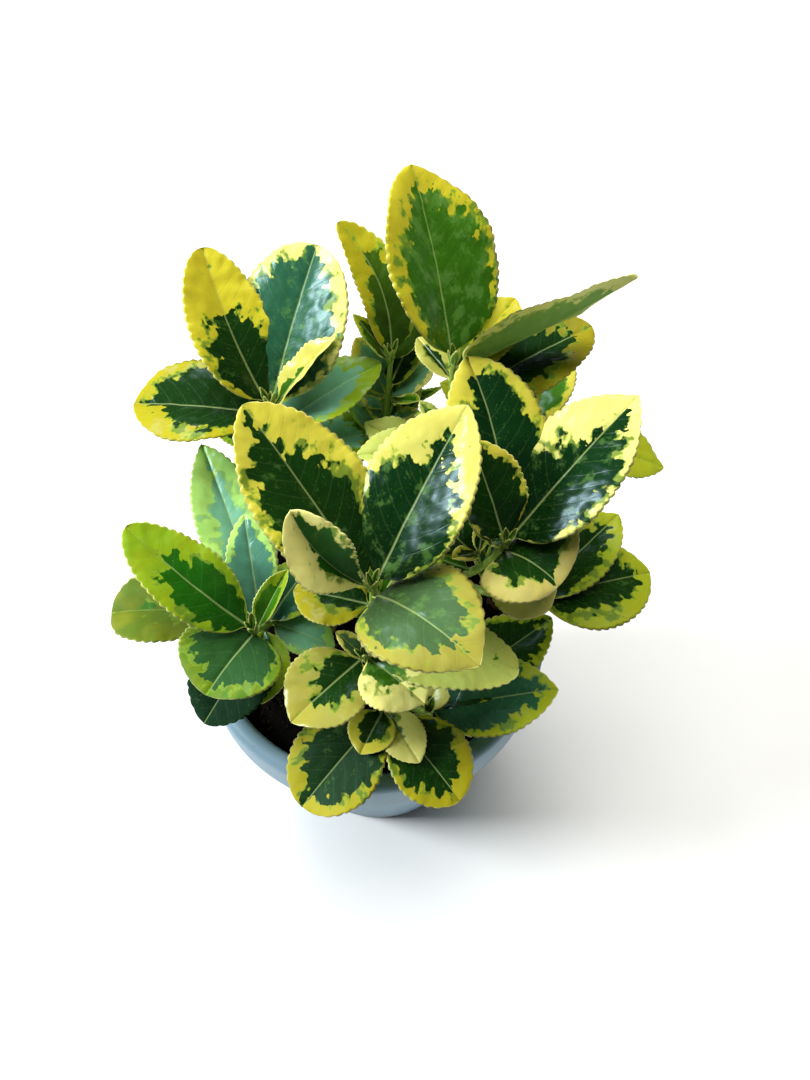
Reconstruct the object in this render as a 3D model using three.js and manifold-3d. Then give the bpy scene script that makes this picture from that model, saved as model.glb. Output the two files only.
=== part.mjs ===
// A young variegated Japanese euonymus in a round blue-grey pot.
// Millimetres, +Z up, the front of the plant towards -Y.
// The origin is the middle of the pot's flat underside.
import * as THREE from 'three';
import { mergeVertices } from 'three/addons/utils/BufferGeometryUtils.js';
import Module from 'manifold-3d';

const wasm = await Module();
wasm.setup();

// The clear space between neighbours that touch on the real plant
const GAP = 0.3;

// Pot: a round pot with a deep collar and a thick rounded lip
const POT = {
  height: 118,
  lipRadius: 63.5,
  collarDepth: 20,
  collarStep: 4,
  footRadius: 42,
  wall: 4,
  floor: 5,
  lipWidth: 7,
  lipRound: 3,
  facets: 40,
};

// Potting soil: level in the middle, a little lower at the wall
const SOIL = { top: 112, edgeDrop: 2, levelRadius: 34, facets: 32 };

// Limb radii, from the foot of a main stem to the bud at the end of a shoot
const RADII = { foot: 2.8, flare: 1.8, fork: 2.1, boughTip: 1.5, shootTip: 0.8 };
const SIDES = { stem: 8, bough: 6, shoot: 5 };

// Leaves: the least thickness is a seventieth of the length, and the angles are in degrees.
// stalk is the bare share of the length, rows the places of the cross-sections,
// and peak the place where the blade is widest.
const LEAF = {
  thinness: 70,
  leastThickness: 0.6,
  stalk: 0.08,
  stalkHalfWidth: 0.8,
  rows: [0, 0.1, 0.28, 0.52, 0.78, 1],
  fold: 12,
  arch: 15,
  twist: 0,
  sweep: 0,
  peak: 0.47,
};

// Leaves under a rosette: opposite pairs, each turned a quarter from the last.
// slim is the width as a share of the length, and shrink the length as a share of the pair above.
const LOWER = { first: 12, spacing: 9, long: 33, slim: 0.55, shrink: 0.94, rise: 12, jitter: 24 };

// A lower leaf keeps clear of every other shoot, and may turn aside by these angles to do so.
// Its tip stays within this reach of the pot's axis.
const ROOM = { clear: 5.5, reach: 64, tries: [0, 30, -30, 60, -60] };

// The seed of the small irregularities
const SEED = 5;

// Main stems: foot on the soil and fork above it
const STEMS = {
  middle: { foot: [0, -8], fork: [1, -18, 147] },
  right: { foot: [19, 3], fork: [25, 4, 140] },
  left: { foot: [-18, 0], fork: [-22, 3, 138] },
  back: { foot: [-1, 22], fork: [1, 32, 150] },
  front: { foot: [9, -27], fork: [11, -33, 120] },
};

// Shoots: each grows from the fork of a main stem to its bud.
// drop is a leaf's distance below the bud, turn its heading seen from above (0 is +X),
// rise the angle of its chord above level, long and wide its size.
// lower is the number of pairs under the rosette, and spin their first heading.
const SHOOTS = {
  centre: { stem: 'middle', bud: [3, -28, 190], lower: 3, spin: 60, leaves: [
    { drop: 2, turn: 135, rise: 40, long: 61, wide: 34, fold: 10 },
    { drop: 2, turn: 54, rise: 40, long: 57, wide: 33, fold: 14 },
    { drop: 1, turn: 173, rise: 61, long: 39, wide: 24, fold: 46, arch: -10, twist: -48, sweep: 36, peak: 0.62 },
    { drop: 5, turn: -42, rise: 12, long: 39, wide: 34, fold: 6, arch: 65, peak: 0.43 },
    { drop: 14, turn: 0, rise: 5, long: 32, wide: 24 },
    { drop: 14, turn: 167, rise: 0, long: 24, wide: 22 },
  ] },
  front: { stem: 'middle', bud: [0, -38, 166], lower: 0, spin: 0, leaves: [
    { drop: 4, turn: -40, rise: 0, long: 23, wide: 24, arch: 30 },
    { drop: 4, turn: -135, rise: 0, long: 29, wide: 26 },
    { drop: 1, turn: 150, rise: 40, long: 12, wide: 7, fold: 30 },
    { drop: 9, turn: -8, rise: 3, long: 46, wide: 24, arch: 40 },
  ] },
  right: { stem: 'right', bud: [41, -13, 189], lower: 3, spin: 20, leaves: [
    { drop: 2, turn: 105, rise: 38, long: 55, wide: 31, sweep: -25 },
    { drop: 2, turn: 39, rise: 35, long: 56, wide: 32, peak: 0.43 },
    { drop: 1, turn: 120, rise: 48, long: 33, wide: 22, fold: 20 },
    { drop: 6, turn: -42, rise: 10, long: 21, wide: 37, fold: 12, arch: 75 },
    { drop: 12, turn: -40, rise: -20, long: 23, wide: 26 },
  ] },
  outer: { stem: 'right', bud: [55, -12, 152], lower: 2, spin: 80, leaves: [
    { drop: 4, turn: 14, rise: 2, long: 42, wide: 35, fold: 8 },
    { drop: 4, turn: 41, rise: 17, long: 42, wide: 24 },
    { drop: 3, turn: 100, rise: 25, long: 26, wide: 16 },
  ] },
  tall: { stem: 'right', bud: [26, 33, 215], lower: 4, spin: 110, leaves: [
    { drop: 2, turn: 107, rise: 43, long: 57, wide: 42, fold: 14, twist: 26 },
    { drop: 2, turn: 6, rise: 31, long: 56, wide: 31, arch: -10, twist: -58, peak: 0.36 },
    { drop: 14, turn: 27, rise: 12, long: 50, wide: 31 },
    { drop: 6, turn: 125, rise: 10, long: 18, wide: 10 },
    { drop: 6, turn: 50, rise: 20, long: 32, wide: 20 },
  ] },
  back: { stem: 'back', bud: [7.5, 51.5, 199], lower: 3, spin: 30, leaves: [
    { drop: 3, turn: 119, rise: 43, long: 46, wide: 19, fold: 25, sweep: -55, peak: 0.42 },
    { drop: 3, turn: 75, rise: 30, long: 25, wide: 18 },
    { drop: 2, turn: 141, rise: 38, long: 19, wide: 7 },
    { drop: 12, turn: 60, rise: 30, long: 24, wide: 13 },
    { drop: 20, turn: 135, rise: 15, long: 20, wide: 14 },
    { drop: 15, turn: 34, rise: 20, long: 20, wide: 14 },
    { drop: 15, turn: 128, rise: 42, long: 22, wide: 15 },
    { drop: 23, turn: 22, rise: 20, long: 22, wide: 6, fold: 30 },
    { drop: 32, turn: 64, rise: 43, long: 32, wide: 18 },
    { drop: 33, turn: -165, rise: 5, long: 20, wide: 15 },
  ] },
  back_left: { stem: 'left', bud: [-36, 48, 166], lower: 2, spin: 60, leaves: [
    { drop: 2, turn: 120, rise: 40, long: 40, wide: 25 },
    { drop: 2, turn: 60, rise: 35, long: 38, wide: 24 },
    { drop: 6, turn: 160, rise: 20, long: 24, wide: 18 },
    { drop: 6, turn: 15, rise: 10, long: 26, wide: 20 },
  ] },
  back_right: { stem: 'back', bud: [54, 46, 172], lower: 2, spin: 50, leaves: [
    { drop: 2, turn: 108, rise: 35, long: 38, wide: 24 },
    { drop: 2, turn: 62, rise: 28, long: 32, wide: 22 },
    { drop: 3, turn: -12, rise: -9, long: 51, wide: 28 },
    { drop: 5, turn: 155, rise: 20, long: 32, wide: 20 },
  ] },
  left: { stem: 'left', bud: [-30, 34, 196], lower: 3, spin: 95, leaves: [
    { drop: 2, turn: 120, rise: 45, long: 51, wide: 25, sweep: 20 },
    { drop: 2, turn: 64, rise: 45, long: 51, wide: 38, fold: 10, peak: 0.48 },
    { drop: 4, turn: 177, rise: 4, long: 43, wide: 35, peak: 0.52 },
    { drop: 3, turn: 17, rise: 49, long: 34, wide: 12, fold: 36 },
    { drop: 9, turn: 30, rise: 14, long: 40, wide: 24 },
    { drop: 18, turn: 20, rise: -5, long: 34, wide: 24 },
  ] },
  low_left: { stem: 'left', bud: [-34, -28, 163], lower: 0, spin: 0, leaves: [
    { drop: 2, turn: 151, rise: 35, long: 49, wide: 23, sweep: 15 },
    { drop: 4, turn: -118, rise: 8, long: 26, wide: 34, arch: 25 },
    { drop: 16, turn: -177, rise: 12, long: 49, wide: 25, arch: 40, peak: 0.7 },
    { drop: 3, turn: 58, rise: 30, long: 21, wide: 12, fold: 50 },
    { drop: 8, turn: 101, rise: 30, long: 36, wide: 16 },
    { drop: 10, turn: -90, rise: -20, long: 24, wide: 18 },
    { drop: 15, turn: -122, rise: -14, long: 37, wide: 28 },
    { drop: 12, turn: 58, rise: 8, long: 25, wide: 19 },
    { drop: 15, turn: -18, rise: -12, long: 22, wide: 16 },
    { drop: 14, turn: 114, rise: 25, long: 62, wide: 23 },
  ] },
  low_front: { stem: 'front', bud: [5, -42, 136], lower: 0, spin: 0, leaves: [
    { drop: 4, turn: -131, rise: -8, long: 40, wide: 31, arch: 20, peak: 0.56 },
    { drop: 4, turn: -50, rise: -9, long: 37, wide: 27, arch: 20, peak: 0.56 },
    { drop: 1, turn: -115, rise: 5, long: 17, wide: 16 },
    { drop: 1, turn: -57, rise: 0, long: 21, wide: 15 },
  ] },
  low_right: { stem: 'front', bud: [20, -40, 127], lower: 0, spin: 0, leaves: [
    { drop: 3, turn: 4, rise: 16, long: 45, wide: 28 },
    { drop: 2, turn: 35, rise: 10, long: 54, wide: 27 },
    { drop: 2, turn: 67, rise: 20, long: 14, wide: 12 },
  ] },
};

// Materials, one for each kind of piece
const PAINT = {
  pot: { color: 0x7fa6bb, roughness: 0.4 },
  soil: { color: 0x1c1713, roughness: 0.95 },
  stem: { color: 0x6d6a3a, roughness: 0.7 },
  bough: { color: 0x6f8a35, roughness: 0.6 },
  foliage: { color: 0x4f8a2c, roughness: 0.45 },
};

const radians = THREE.MathUtils.degToRad;
const vector = (list) => new THREE.Vector3(...list);

// A repeatable number from 0 to 1
function chance(number) {
  const wave = Math.sin(number * 12.9898 + SEED * 78.233) * 43758.5453;
  return wave - Math.floor(wave);
}

// A named mesh in one of the finishes
function piece(name, finish, geometry) {
  const mesh = new THREE.Mesh(geometry, new THREE.MeshStandardMaterial({ ...PAINT[finish], metalness: 0 }));
  mesh.name = name;
  return mesh;
}

function toSolid(geometry) {
  const bare = geometry.clone();
  bare.deleteAttribute('normal');
  bare.deleteAttribute('uv');
  const merged = mergeVertices(bare, 1e-4);
  const vertProperties = Float32Array.from(merged.attributes.position.array);
  const triVerts = Uint32Array.from(merged.index.array);
  return new wasm.Manifold(new wasm.Mesh({ numProp: 3, vertProperties, triVerts }));
}

function toGeometry(solid) {
  const { vertProperties, triVerts } = solid.getMesh();
  const geometry = new THREE.BufferGeometry();
  geometry.setAttribute('position', new THREE.BufferAttribute(Float32Array.from(vertProperties), 3));
  geometry.setIndex(new THREE.BufferAttribute(Uint32Array.from(triVerts), 1));
  geometry.computeVertexNormals();
  return geometry;
}

// The largest body of a solid, so that a cut leaves no scrap
function largest(solid) {
  return solid.decompose().reduce((a, b) => (b.volume() > a.volume() ? b : a));
}

// A closed skin over rings of equally many points, with flat ends
function loft(rings) {
  const sides = rings[0].length;
  const position = rings.flat().flatMap((p) => [p.x, p.y, p.z]);
  const index = [];
  for (let row = 0; row < rings.length - 1; row += 1) {
    for (let k = 0; k < sides; k += 1) {
      const a = row * sides + k;
      const b = row * sides + (k + 1) % sides;
      index.push(a, b, b + sides, a, b + sides, a + sides);
    }
  }
  const last = (rings.length - 1) * sides;
  for (let k = 1; k < sides - 1; k += 1) {
    index.push(0, k + 1, k, last, last + k, last + k + 1);
  }
  const geometry = new THREE.BufferGeometry();
  geometry.setAttribute('position', new THREE.Float32BufferAttribute(position, 3));
  geometry.setIndex(index);
  return geometry;
}

// A round limb along a curve from t0 to t1, which may lie a little past the curve's end.
// Its radius is a function of the share of its length.
function limb(curve, t0, t1, radius, sides, steps) {
  const rings = [];
  const across = new THREE.Vector3(1, 0, 0);
  for (let step = 0; step <= steps; step += 1) {
    const share = step / steps;
    const t = t0 + (t1 - t0) * share;
    const along = curve.getTangent(Math.min(t, 1));
    const side = new THREE.Vector3().crossVectors(along, across).normalize();
    const other = new THREE.Vector3().crossVectors(side, along).normalize();
    const centre = curve.getPoint(t);
    const ring = [];
    for (let k = 0; k < sides; k += 1) {
      const angle = -(2 * Math.PI * k) / sides;
      ring.push(centre.clone()
        .addScaledVector(side, radius(share) * Math.cos(angle))
        .addScaledVector(other, radius(share) * Math.sin(angle)));
    }
    rings.push(ring);
  }
  return loft(rings);
}

// Turned shapes: the profile is drawn with x as the radius and y as the height
function turned(path, facets) {
  const geometry = new THREE.LatheGeometry(path.getPoints(3), facets);
  geometry.rotateX(Math.PI / 2);
  return toGeometry(toSolid(geometry));
}

// The inner face of the pot's wall at a height
function wallInside(height) {
  const share = height / (POT.height - POT.collarDepth);
  const top = POT.lipRadius - POT.collarStep;
  return POT.footRadius + (top - POT.footRadius) * share - POT.wall;
}

function potGeometry() {
  const { height, lipRadius, collarDepth, collarStep, footRadius, floor, lipWidth, lipRound } = POT;
  const collar = height - collarDepth;
  const path = new THREE.Path();
  path.moveTo(0, 0);
  path.lineTo(footRadius - 2, 0);
  path.lineTo(footRadius, 2);
  path.lineTo(lipRadius - collarStep, collar);
  path.lineTo(lipRadius - 1, collar);
  path.lineTo(lipRadius, collar + 1);
  path.lineTo(lipRadius, height - lipRound);
  path.absarc(lipRadius - lipRound, height - lipRound, lipRound, 0, Math.PI / 2, false);
  path.lineTo(lipRadius - lipWidth, SOIL.top);
  path.lineTo(wallInside(collar), collar);
  path.lineTo(wallInside(floor), floor);
  path.lineTo(0, floor);
  return turned(path, POT.facets);
}

function soilGeometry() {
  const base = POT.floor + GAP;
  const collar = POT.height - POT.collarDepth;
  const edge = SOIL.top - SOIL.edgeDrop;
  const path = new THREE.Path();
  path.moveTo(0, base);
  path.lineTo(wallInside(base) - GAP, base);
  path.lineTo(wallInside(collar) - GAP, collar);
  path.lineTo(wallInside(collar) - GAP, edge);
  path.lineTo(SOIL.levelRadius, SOIL.top);
  path.lineTo(0, SOIL.top);
  return turned(path, SOIL.facets);
}

// A main stem stands on the soil with a flared foot and leans to its fork
function stemCurve({ foot, fork }) {
  const start = vector([...foot, SOIL.top + GAP]);
  const end = vector(fork);
  const bend = new THREE.Vector3(start.x, start.y, (start.z + end.z) / 2);
  return new THREE.QuadraticBezierCurve3(start, bend, end);
}

function stemRadius(share) {
  return RADII.foot + (RADII.fork - RADII.foot) * share + RADII.flare * Math.exp(-share * 9);
}

// A shoot leaves the fork sideways and ends nearly upright in its bud
function shootCurve({ stem, bud }) {
  const start = vector(STEMS[stem].fork);
  const end = vector(bud);
  const bend = new THREE.Vector3(
    start.x + (end.x - start.x) * 0.7,
    start.y + (end.y - start.y) * 0.7,
    start.z + (end.z - start.z) * 0.45,
  );
  return new THREE.QuadraticBezierCurve3(start, bend, end);
}

// The place on a shoot that lies a distance below its bud
function below(curve, drop) {
  return 1 - drop / curve.v0.distanceTo(curve.v2);
}

// The half width of a blade along its length, as a share of the widest
function blade(u, peak) {
  const t = (u - LEAF.stalk) / (1 - LEAF.stalk);
  if (t <= 0 || t >= 1) return 0;
  const skewed = t ** (Math.log(0.5) / Math.log(peak));
  return (4 * skewed * (1 - skewed)) ** 0.65;
}

// Distance along and off the chord of an arc that turns through an angle
function bow(u, length, degrees) {
  const turn = radians(degrees);
  if (Math.abs(turn) < 1e-6) return [length * u, 0];
  const radius = length / (2 * Math.sin(turn / 2));
  const along = radius * (Math.sin(turn / 2) - Math.sin(turn * (0.5 - u)));
  return [along, radius * (Math.cos(turn * (0.5 - u)) - Math.cos(turn / 2))];
}

// A leaf's own frame: along its chord, across it, and out of its upper face
function leafFrame({ turn, rise, twist }) {
  const [a, e, t] = [turn, rise, twist].map(radians);
  const along = new THREE.Vector3(Math.cos(e) * Math.cos(a), Math.cos(e) * Math.sin(a), Math.sin(e));
  const level = new THREE.Vector3(-Math.sin(a), Math.cos(a), 0);
  const up = new THREE.Vector3().crossVectors(along, level);
  return {
    along,
    across: level.clone().multiplyScalar(Math.cos(t)).addScaledVector(up, Math.sin(t)),
    out: up.multiplyScalar(Math.cos(t)).addScaledVector(level, -Math.sin(t)),
  };
}

// A point of a leaf: u runs from the stem to the tip, v from edge to edge, lift off the upper face
function leafPoint(root, leaf, u, v, lift) {
  const { along, across, out } = leafFrame(leaf);
  const [x, z] = bow(u, leaf.long, leaf.arch);
  const [, y] = bow(u, leaf.long, leaf.sweep);
  const pitch = radians(leaf.arch) * (0.5 - u);
  const yaw = radians(leaf.sweep) * (0.5 - u);
  const normal = out.clone().multiplyScalar(Math.cos(pitch)).addScaledVector(along, -Math.sin(pitch));
  const side = across.clone().multiplyScalar(Math.cos(yaw)).addScaledVector(along, -Math.sin(yaw));
  const half = Math.max((leaf.wide / 2) * blade(u, leaf.peak), LEAF.stalkHalfWidth);
  const fold = radians(leaf.fold);
  return root.clone()
    .addScaledVector(along, x)
    .addScaledVector(out, z)
    .addScaledVector(across, y)
    .addScaledVector(side, half * v * Math.cos(fold))
    .addScaledVector(normal, half * Math.abs(v) * Math.sin(fold) + lift);
}

// A leaf is a slab folded along its midrib, starting in the middle of the stem
function leafGeometry(root, leaf) {
  const thickness = Math.max(LEAF.leastThickness, leaf.long / LEAF.thinness);
  const rings = LEAF.rows.map((u) => [
    ...[-1, 0, 1].map((v) => leafPoint(root, leaf, u, v, -thickness)),
    ...[1, 0, -1].map((v) => leafPoint(root, leaf, u, v, 0)),
  ]);
  return loft(rings);
}

// The points that a leaf is tested by
function leafMarks({ root, leaf }) {
  const marks = [];
  for (const u of [0.25, 0.4, 0.55, 0.7, 0.85, 1]) {
    for (const v of [-0.9, 0, 0.9]) marks.push(leafPoint(root, leaf, u, v, 0));
  }
  return marks;
}

function limbMarks(curve, t1) {
  return Array.from({ length: 15 }, (_, k) => curve.getPoint((t1 * k) / 14));
}

const clearOf = (marks, others) => marks.every((p) => others.every((q) => p.distanceTo(q) > ROOM.clear));

// The headings that a lower leaf may take, the first one best.
// None points forwards, over the open soil at the front of the pot.
function lowerLeaves(shoot, pair, side, draw) {
  const drop = LOWER.first + LOWER.spacing * (pair + 1);
  const long = LOWER.long * LOWER.shrink ** pair * (0.9 + 0.2 * chance(draw + 600));
  const t = below(shoot.curve, drop);
  return ROOM.tries.map((aside) => {
    const turn = shoot.plan.spin + 90 * pair + 180 * side + aside + (chance(draw) - 0.5) * LOWER.jitter;
    const rise = LOWER.rise + (chance(draw + 300) - 0.5) * LOWER.jitter;
    const leaf = { ...LEAF, drop, turn, rise, long, wide: long * LOWER.slim };
    const root = shoot.curve.getPoint(Math.max(t, 0));
    const tip = leafPoint(root, leaf, 1, 0, 0);
    const room = t > 0.3 && Math.sin(radians(turn)) > -0.4 && Math.hypot(tip.x, tip.y) < ROOM.reach;
    return { root, leaf, room };
  });
}

// Every shoot with its curve, its rosette and the pairs under it that clear the rest of the plant
function growShoots() {
  const shoots = Object.entries(SHOOTS).map(([name, plan]) => {
    const curve = shootCurve(plan);
    const leaves = plan.leaves.map((given) => {
      const leaf = { ...LEAF, ...given };
      return { root: curve.getPoint(below(curve, leaf.drop)), leaf };
    });
    return { name, plan, curve, leaves };
  });
  const stemMarks = Object.values(STEMS).flatMap((stem) => limbMarks(stemCurve(stem), 1));
  shoots.forEach((shoot, number) => {
    const others = shoots.filter((other) => other !== shoot);
    for (let pair = 0; pair < shoot.plan.lower; pair += 1) {
      for (let side = 0; side < 2; side += 1) {
        const taken = others.flatMap((other) => [
          ...limbMarks(other.curve, 1),
          ...other.leaves.flatMap(leafMarks),
        ]);
        const draw = number * 17 + pair * 5 + side;
        const grown = lowerLeaves(shoot, pair, side, draw).find((candidate) => (
          candidate.room && clearOf(leafMarks(candidate), [...taken, ...stemMarks])
        ));
        if (grown) shoot.leaves.push(grown);
      }
    }
  });
  return shoots;
}

// The place on a shoot where its bough ends and its foliage begins
function entry(shoot) {
  const lowest = Math.max(...shoot.leaves.map(({ leaf }) => leaf.drop));
  return below(shoot.curve, lowest + 4);
}

function boughRadius(grow = 0) {
  return (share) => RADII.fork - 0.3 + (RADII.boughTip - RADII.fork + 0.3) * share + grow;
}

// The pot, the soil and the plant. The boughs are cut 0.3 mm clear of the stems and of each other.
function growPlant() {
  const group = new THREE.Group();
  group.add(piece('pot', 'pot', potGeometry()));
  group.add(piece('soil', 'soil', soilGeometry()));
  for (const [name, stem] of Object.entries(STEMS)) {
    const solid = toSolid(limb(stemCurve(stem), 0, 1, stemRadius, SIDES.stem, 8));
    group.add(piece(`stem_${name}`, 'stem', toGeometry(solid)));
  }
  const shoots = growShoots();
  const limbs = Object.values(STEMS).map((stem) => {
    const curve = stemCurve(stem);
    const past = 1 + GAP / curve.v0.distanceTo(curve.v2);
    return toSolid(limb(curve, 0, past, (share) => stemRadius(share) + GAP, SIDES.stem, 8));
  });
  for (const shoot of shoots) {
    shoot.entry = entry(shoot);
    const make = (grow) => toSolid(limb(shoot.curve, 0, shoot.entry, boughRadius(grow), SIDES.bough, 6));
    const bough = limbs.reduce((solid, other) => solid.subtract(other), make(0));
    group.add(piece(`bough_${shoot.name}`, 'bough', toGeometry(largest(bough))));
    limbs.push(make(GAP));
  }
  for (const shoot of shoots) {
    const length = shoot.curve.v0.distanceTo(shoot.curve.v2);
    const radius = (share) => RADII.boughTip + (RADII.shootTip - RADII.boughTip) * share;
    const stem = limb(shoot.curve, shoot.entry + GAP / length, 1, radius, SIDES.shoot, 5);
    const foliage = shoot.leaves.reduce(
      (solid, { root, leaf }) => solid.add(toSolid(leafGeometry(root, leaf))),
      toSolid(stem),
    );
    group.add(piece(`foliage_${shoot.name}`, 'foliage', toGeometry(largest(foliage))));
  }
  return group;
}

export default growPlant();
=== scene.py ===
"""A young variegated Japanese euonymus in a round blue-grey pot, on a pale studio floor."""

import math

import bpy
import numpy as np
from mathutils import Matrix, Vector, noise


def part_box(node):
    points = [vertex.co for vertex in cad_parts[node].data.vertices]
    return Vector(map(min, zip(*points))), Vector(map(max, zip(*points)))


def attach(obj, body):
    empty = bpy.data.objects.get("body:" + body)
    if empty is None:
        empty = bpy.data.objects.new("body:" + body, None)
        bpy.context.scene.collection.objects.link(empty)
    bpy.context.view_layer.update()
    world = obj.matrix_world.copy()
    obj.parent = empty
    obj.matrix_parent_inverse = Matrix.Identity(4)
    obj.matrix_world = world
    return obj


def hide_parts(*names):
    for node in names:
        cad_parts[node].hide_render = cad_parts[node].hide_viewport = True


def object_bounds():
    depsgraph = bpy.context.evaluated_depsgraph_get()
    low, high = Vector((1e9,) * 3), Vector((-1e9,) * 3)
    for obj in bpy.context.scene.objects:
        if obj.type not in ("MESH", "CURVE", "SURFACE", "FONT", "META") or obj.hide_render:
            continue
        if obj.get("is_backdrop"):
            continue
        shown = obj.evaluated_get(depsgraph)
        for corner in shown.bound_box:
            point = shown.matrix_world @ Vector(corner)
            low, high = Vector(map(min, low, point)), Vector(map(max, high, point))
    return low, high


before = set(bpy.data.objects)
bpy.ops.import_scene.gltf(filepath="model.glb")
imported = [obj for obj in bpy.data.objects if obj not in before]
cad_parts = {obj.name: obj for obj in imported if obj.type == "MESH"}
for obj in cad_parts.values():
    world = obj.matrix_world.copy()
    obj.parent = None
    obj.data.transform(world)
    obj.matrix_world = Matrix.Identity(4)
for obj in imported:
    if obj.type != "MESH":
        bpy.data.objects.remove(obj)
CAD_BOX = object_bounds()

bl_info = {
    "name": "Potted Variegated Euonymus",
    "version": (1, 0, 0),
    "blender": (4, 5, 0),
    "location": "3D View > Sidebar > Euonymus",
    "description": "Builds a young variegated euonymus in its pot, leaf by leaf",
    "category": "Add Mesh",
}

# Lengths in the tables are millimetres, and angles are degrees
MM = 0.001
POT_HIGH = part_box("pot")[1]
SOIL_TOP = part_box("soil")[1].z / MM

# Limb radii, from the foot of a main stem to the bud at the end of a shoot
RADII = {"foot": 2.8, "flare": 1.8, "fork": 2.1, "bough": 1.8, "bough_tip": 1.5, "shoot_tip": 0.8}

# Leaves under a rosette: opposite pairs, each turned a quarter from the last.
# slim is the width as a share of the length, shrink the length as a share of the pair above, and
# bare how far below the lowest leaf the bough ends and the shoot begins.
LOWER = {
    "first": 12, "spacing": 9, "long": 33, "slim": 0.55, "shrink": 0.94,
    "rise": 12, "jitter": 24, "bare": 4,
}

# A lower leaf keeps clear of every other shoot and of the main stems, and may turn aside by these
# angles to do so. It grows above a share of its shoot, ends within a reach of the pot's axis, and
# doesn't head further to the front than the sine given.
ROOM = {"clear": 5.5, "reach": 64, "tries": (0, 30, -30, 60, -60), "above": 0.3, "front": -0.4}

# Side twigs: how far below the bud they start, the share that is missing, and their two radii
SPRIG = {"below": 20, "missing": 0.2, "radii": (0.7, 0.45)}
SEED = 5

# The blade: the bare share at its foot, and the half width of its stalk
STALK = {"share": 0.08, "half": 0.8}

# How full a blade's outline is from its foot to where it is widest: less is fuller
OUTLINE = 0.65

# Side veins run forward from the midrib, and bend further forward towards the margin
VEIN = {"lean": 0.6, "curve": 0.03}

# Colours of the margins and of the green centres
RIMS = {
    # A cream made lighter: painted light for margins that face away from the lamps
    "ivory": "#f3ec8e",
    "cream": "#dcd87a",
    "straw": "#ccc761",
    "butter": "#c5bc40",
    "gold": "#c3b82a",
    "ochre": "#a39b1c",
    # An ochre made darker: painted shade for a margin that stands in shade
    "mustard": "#86801a",
    "tan": "#b4aa60",
    "honey": "#98943f",
    "olive": "#9aa722",
    "lime": "#7c9d19",
    "pear": "#b1bd5e",
    "moss": "#4b720d",
    "forest": "#1f4a12",
    "fern": "#566c12",
    "mint": "#9bcb6a",
}
GREENS = {
    "deep": "#123209",
    # A deep green made darker: painted shade for leaves that stand in shade
    "night": "#0a2b0d",
    "mid": "#386a10",
    "spring": "#5c9420",
    "grey": "#45623a",
    "emerald": "#1d5a0c",
    "grass": "#234a1b",
    "blue": "#27573c",
    # A green made lighter: painted light for leaves that sit in shade inside the foliage
    "pale": "#6fa886",
    "dusty": "#4b8069",
    "olive": "#38550e",
}

# Where a leaf's table row gives nothing else.
# fold raises both halves from the midrib, arch bows the blade down to its tip, twist turns it round
# its length, and sweep bends it sideways. peak is where it is widest, tip how pointed its end is,
# dome how far each half swells, and wave how high the margin ripples.
# green is the share of the half width that is green, and reach the share of the length that it
# goes up: one number, or two, for the left and the right of the midrib as seen from the stem.
# rim and tone name the colours, mottle is how much lighter green there is, and gloss the shine.
LEAF = {
    "fold": 12,
    "arch": 15,
    "twist": 0,
    "sweep": 0,
    "peak": 0.47,
    "dome": 0.06,
    "tip": 0.8,
    "wave": 0.6,
    "green": 0.78,
    "reach": 0.86,
    "rim": "butter",
    "tone": "deep",
    "mottle": 0.25,
    "gloss": 1.0,
}


def leaf(drop, turn, rise, long, wide, **more):
    """A leaf's table row: its distance below the bud, heading, rise and size, and what is its own"""
    row = {**LEAF, "drop": drop, "turn": turn, "rise": rise, "long": long, "wide": wide, **more}
    for key in ("green", "reach"):
        if not isinstance(row[key], tuple):
            row[key] = (row[key], row[key])
    return row


# Main stems: foot on the soil and fork above it
STEMS = {
    "middle": {"foot": (0, -8), "fork": (1, -18, 147)},
    "right": {"foot": (19, 3), "fork": (25, 4, 140)},
    "left": {"foot": (-18, 0), "fork": (-22, 3, 138)},
    "back": {"foot": (-1, 22), "fork": (1, 32, 150)},
    "front": {"foot": (9, -27), "fork": (11, -33, 120)},
}

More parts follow.
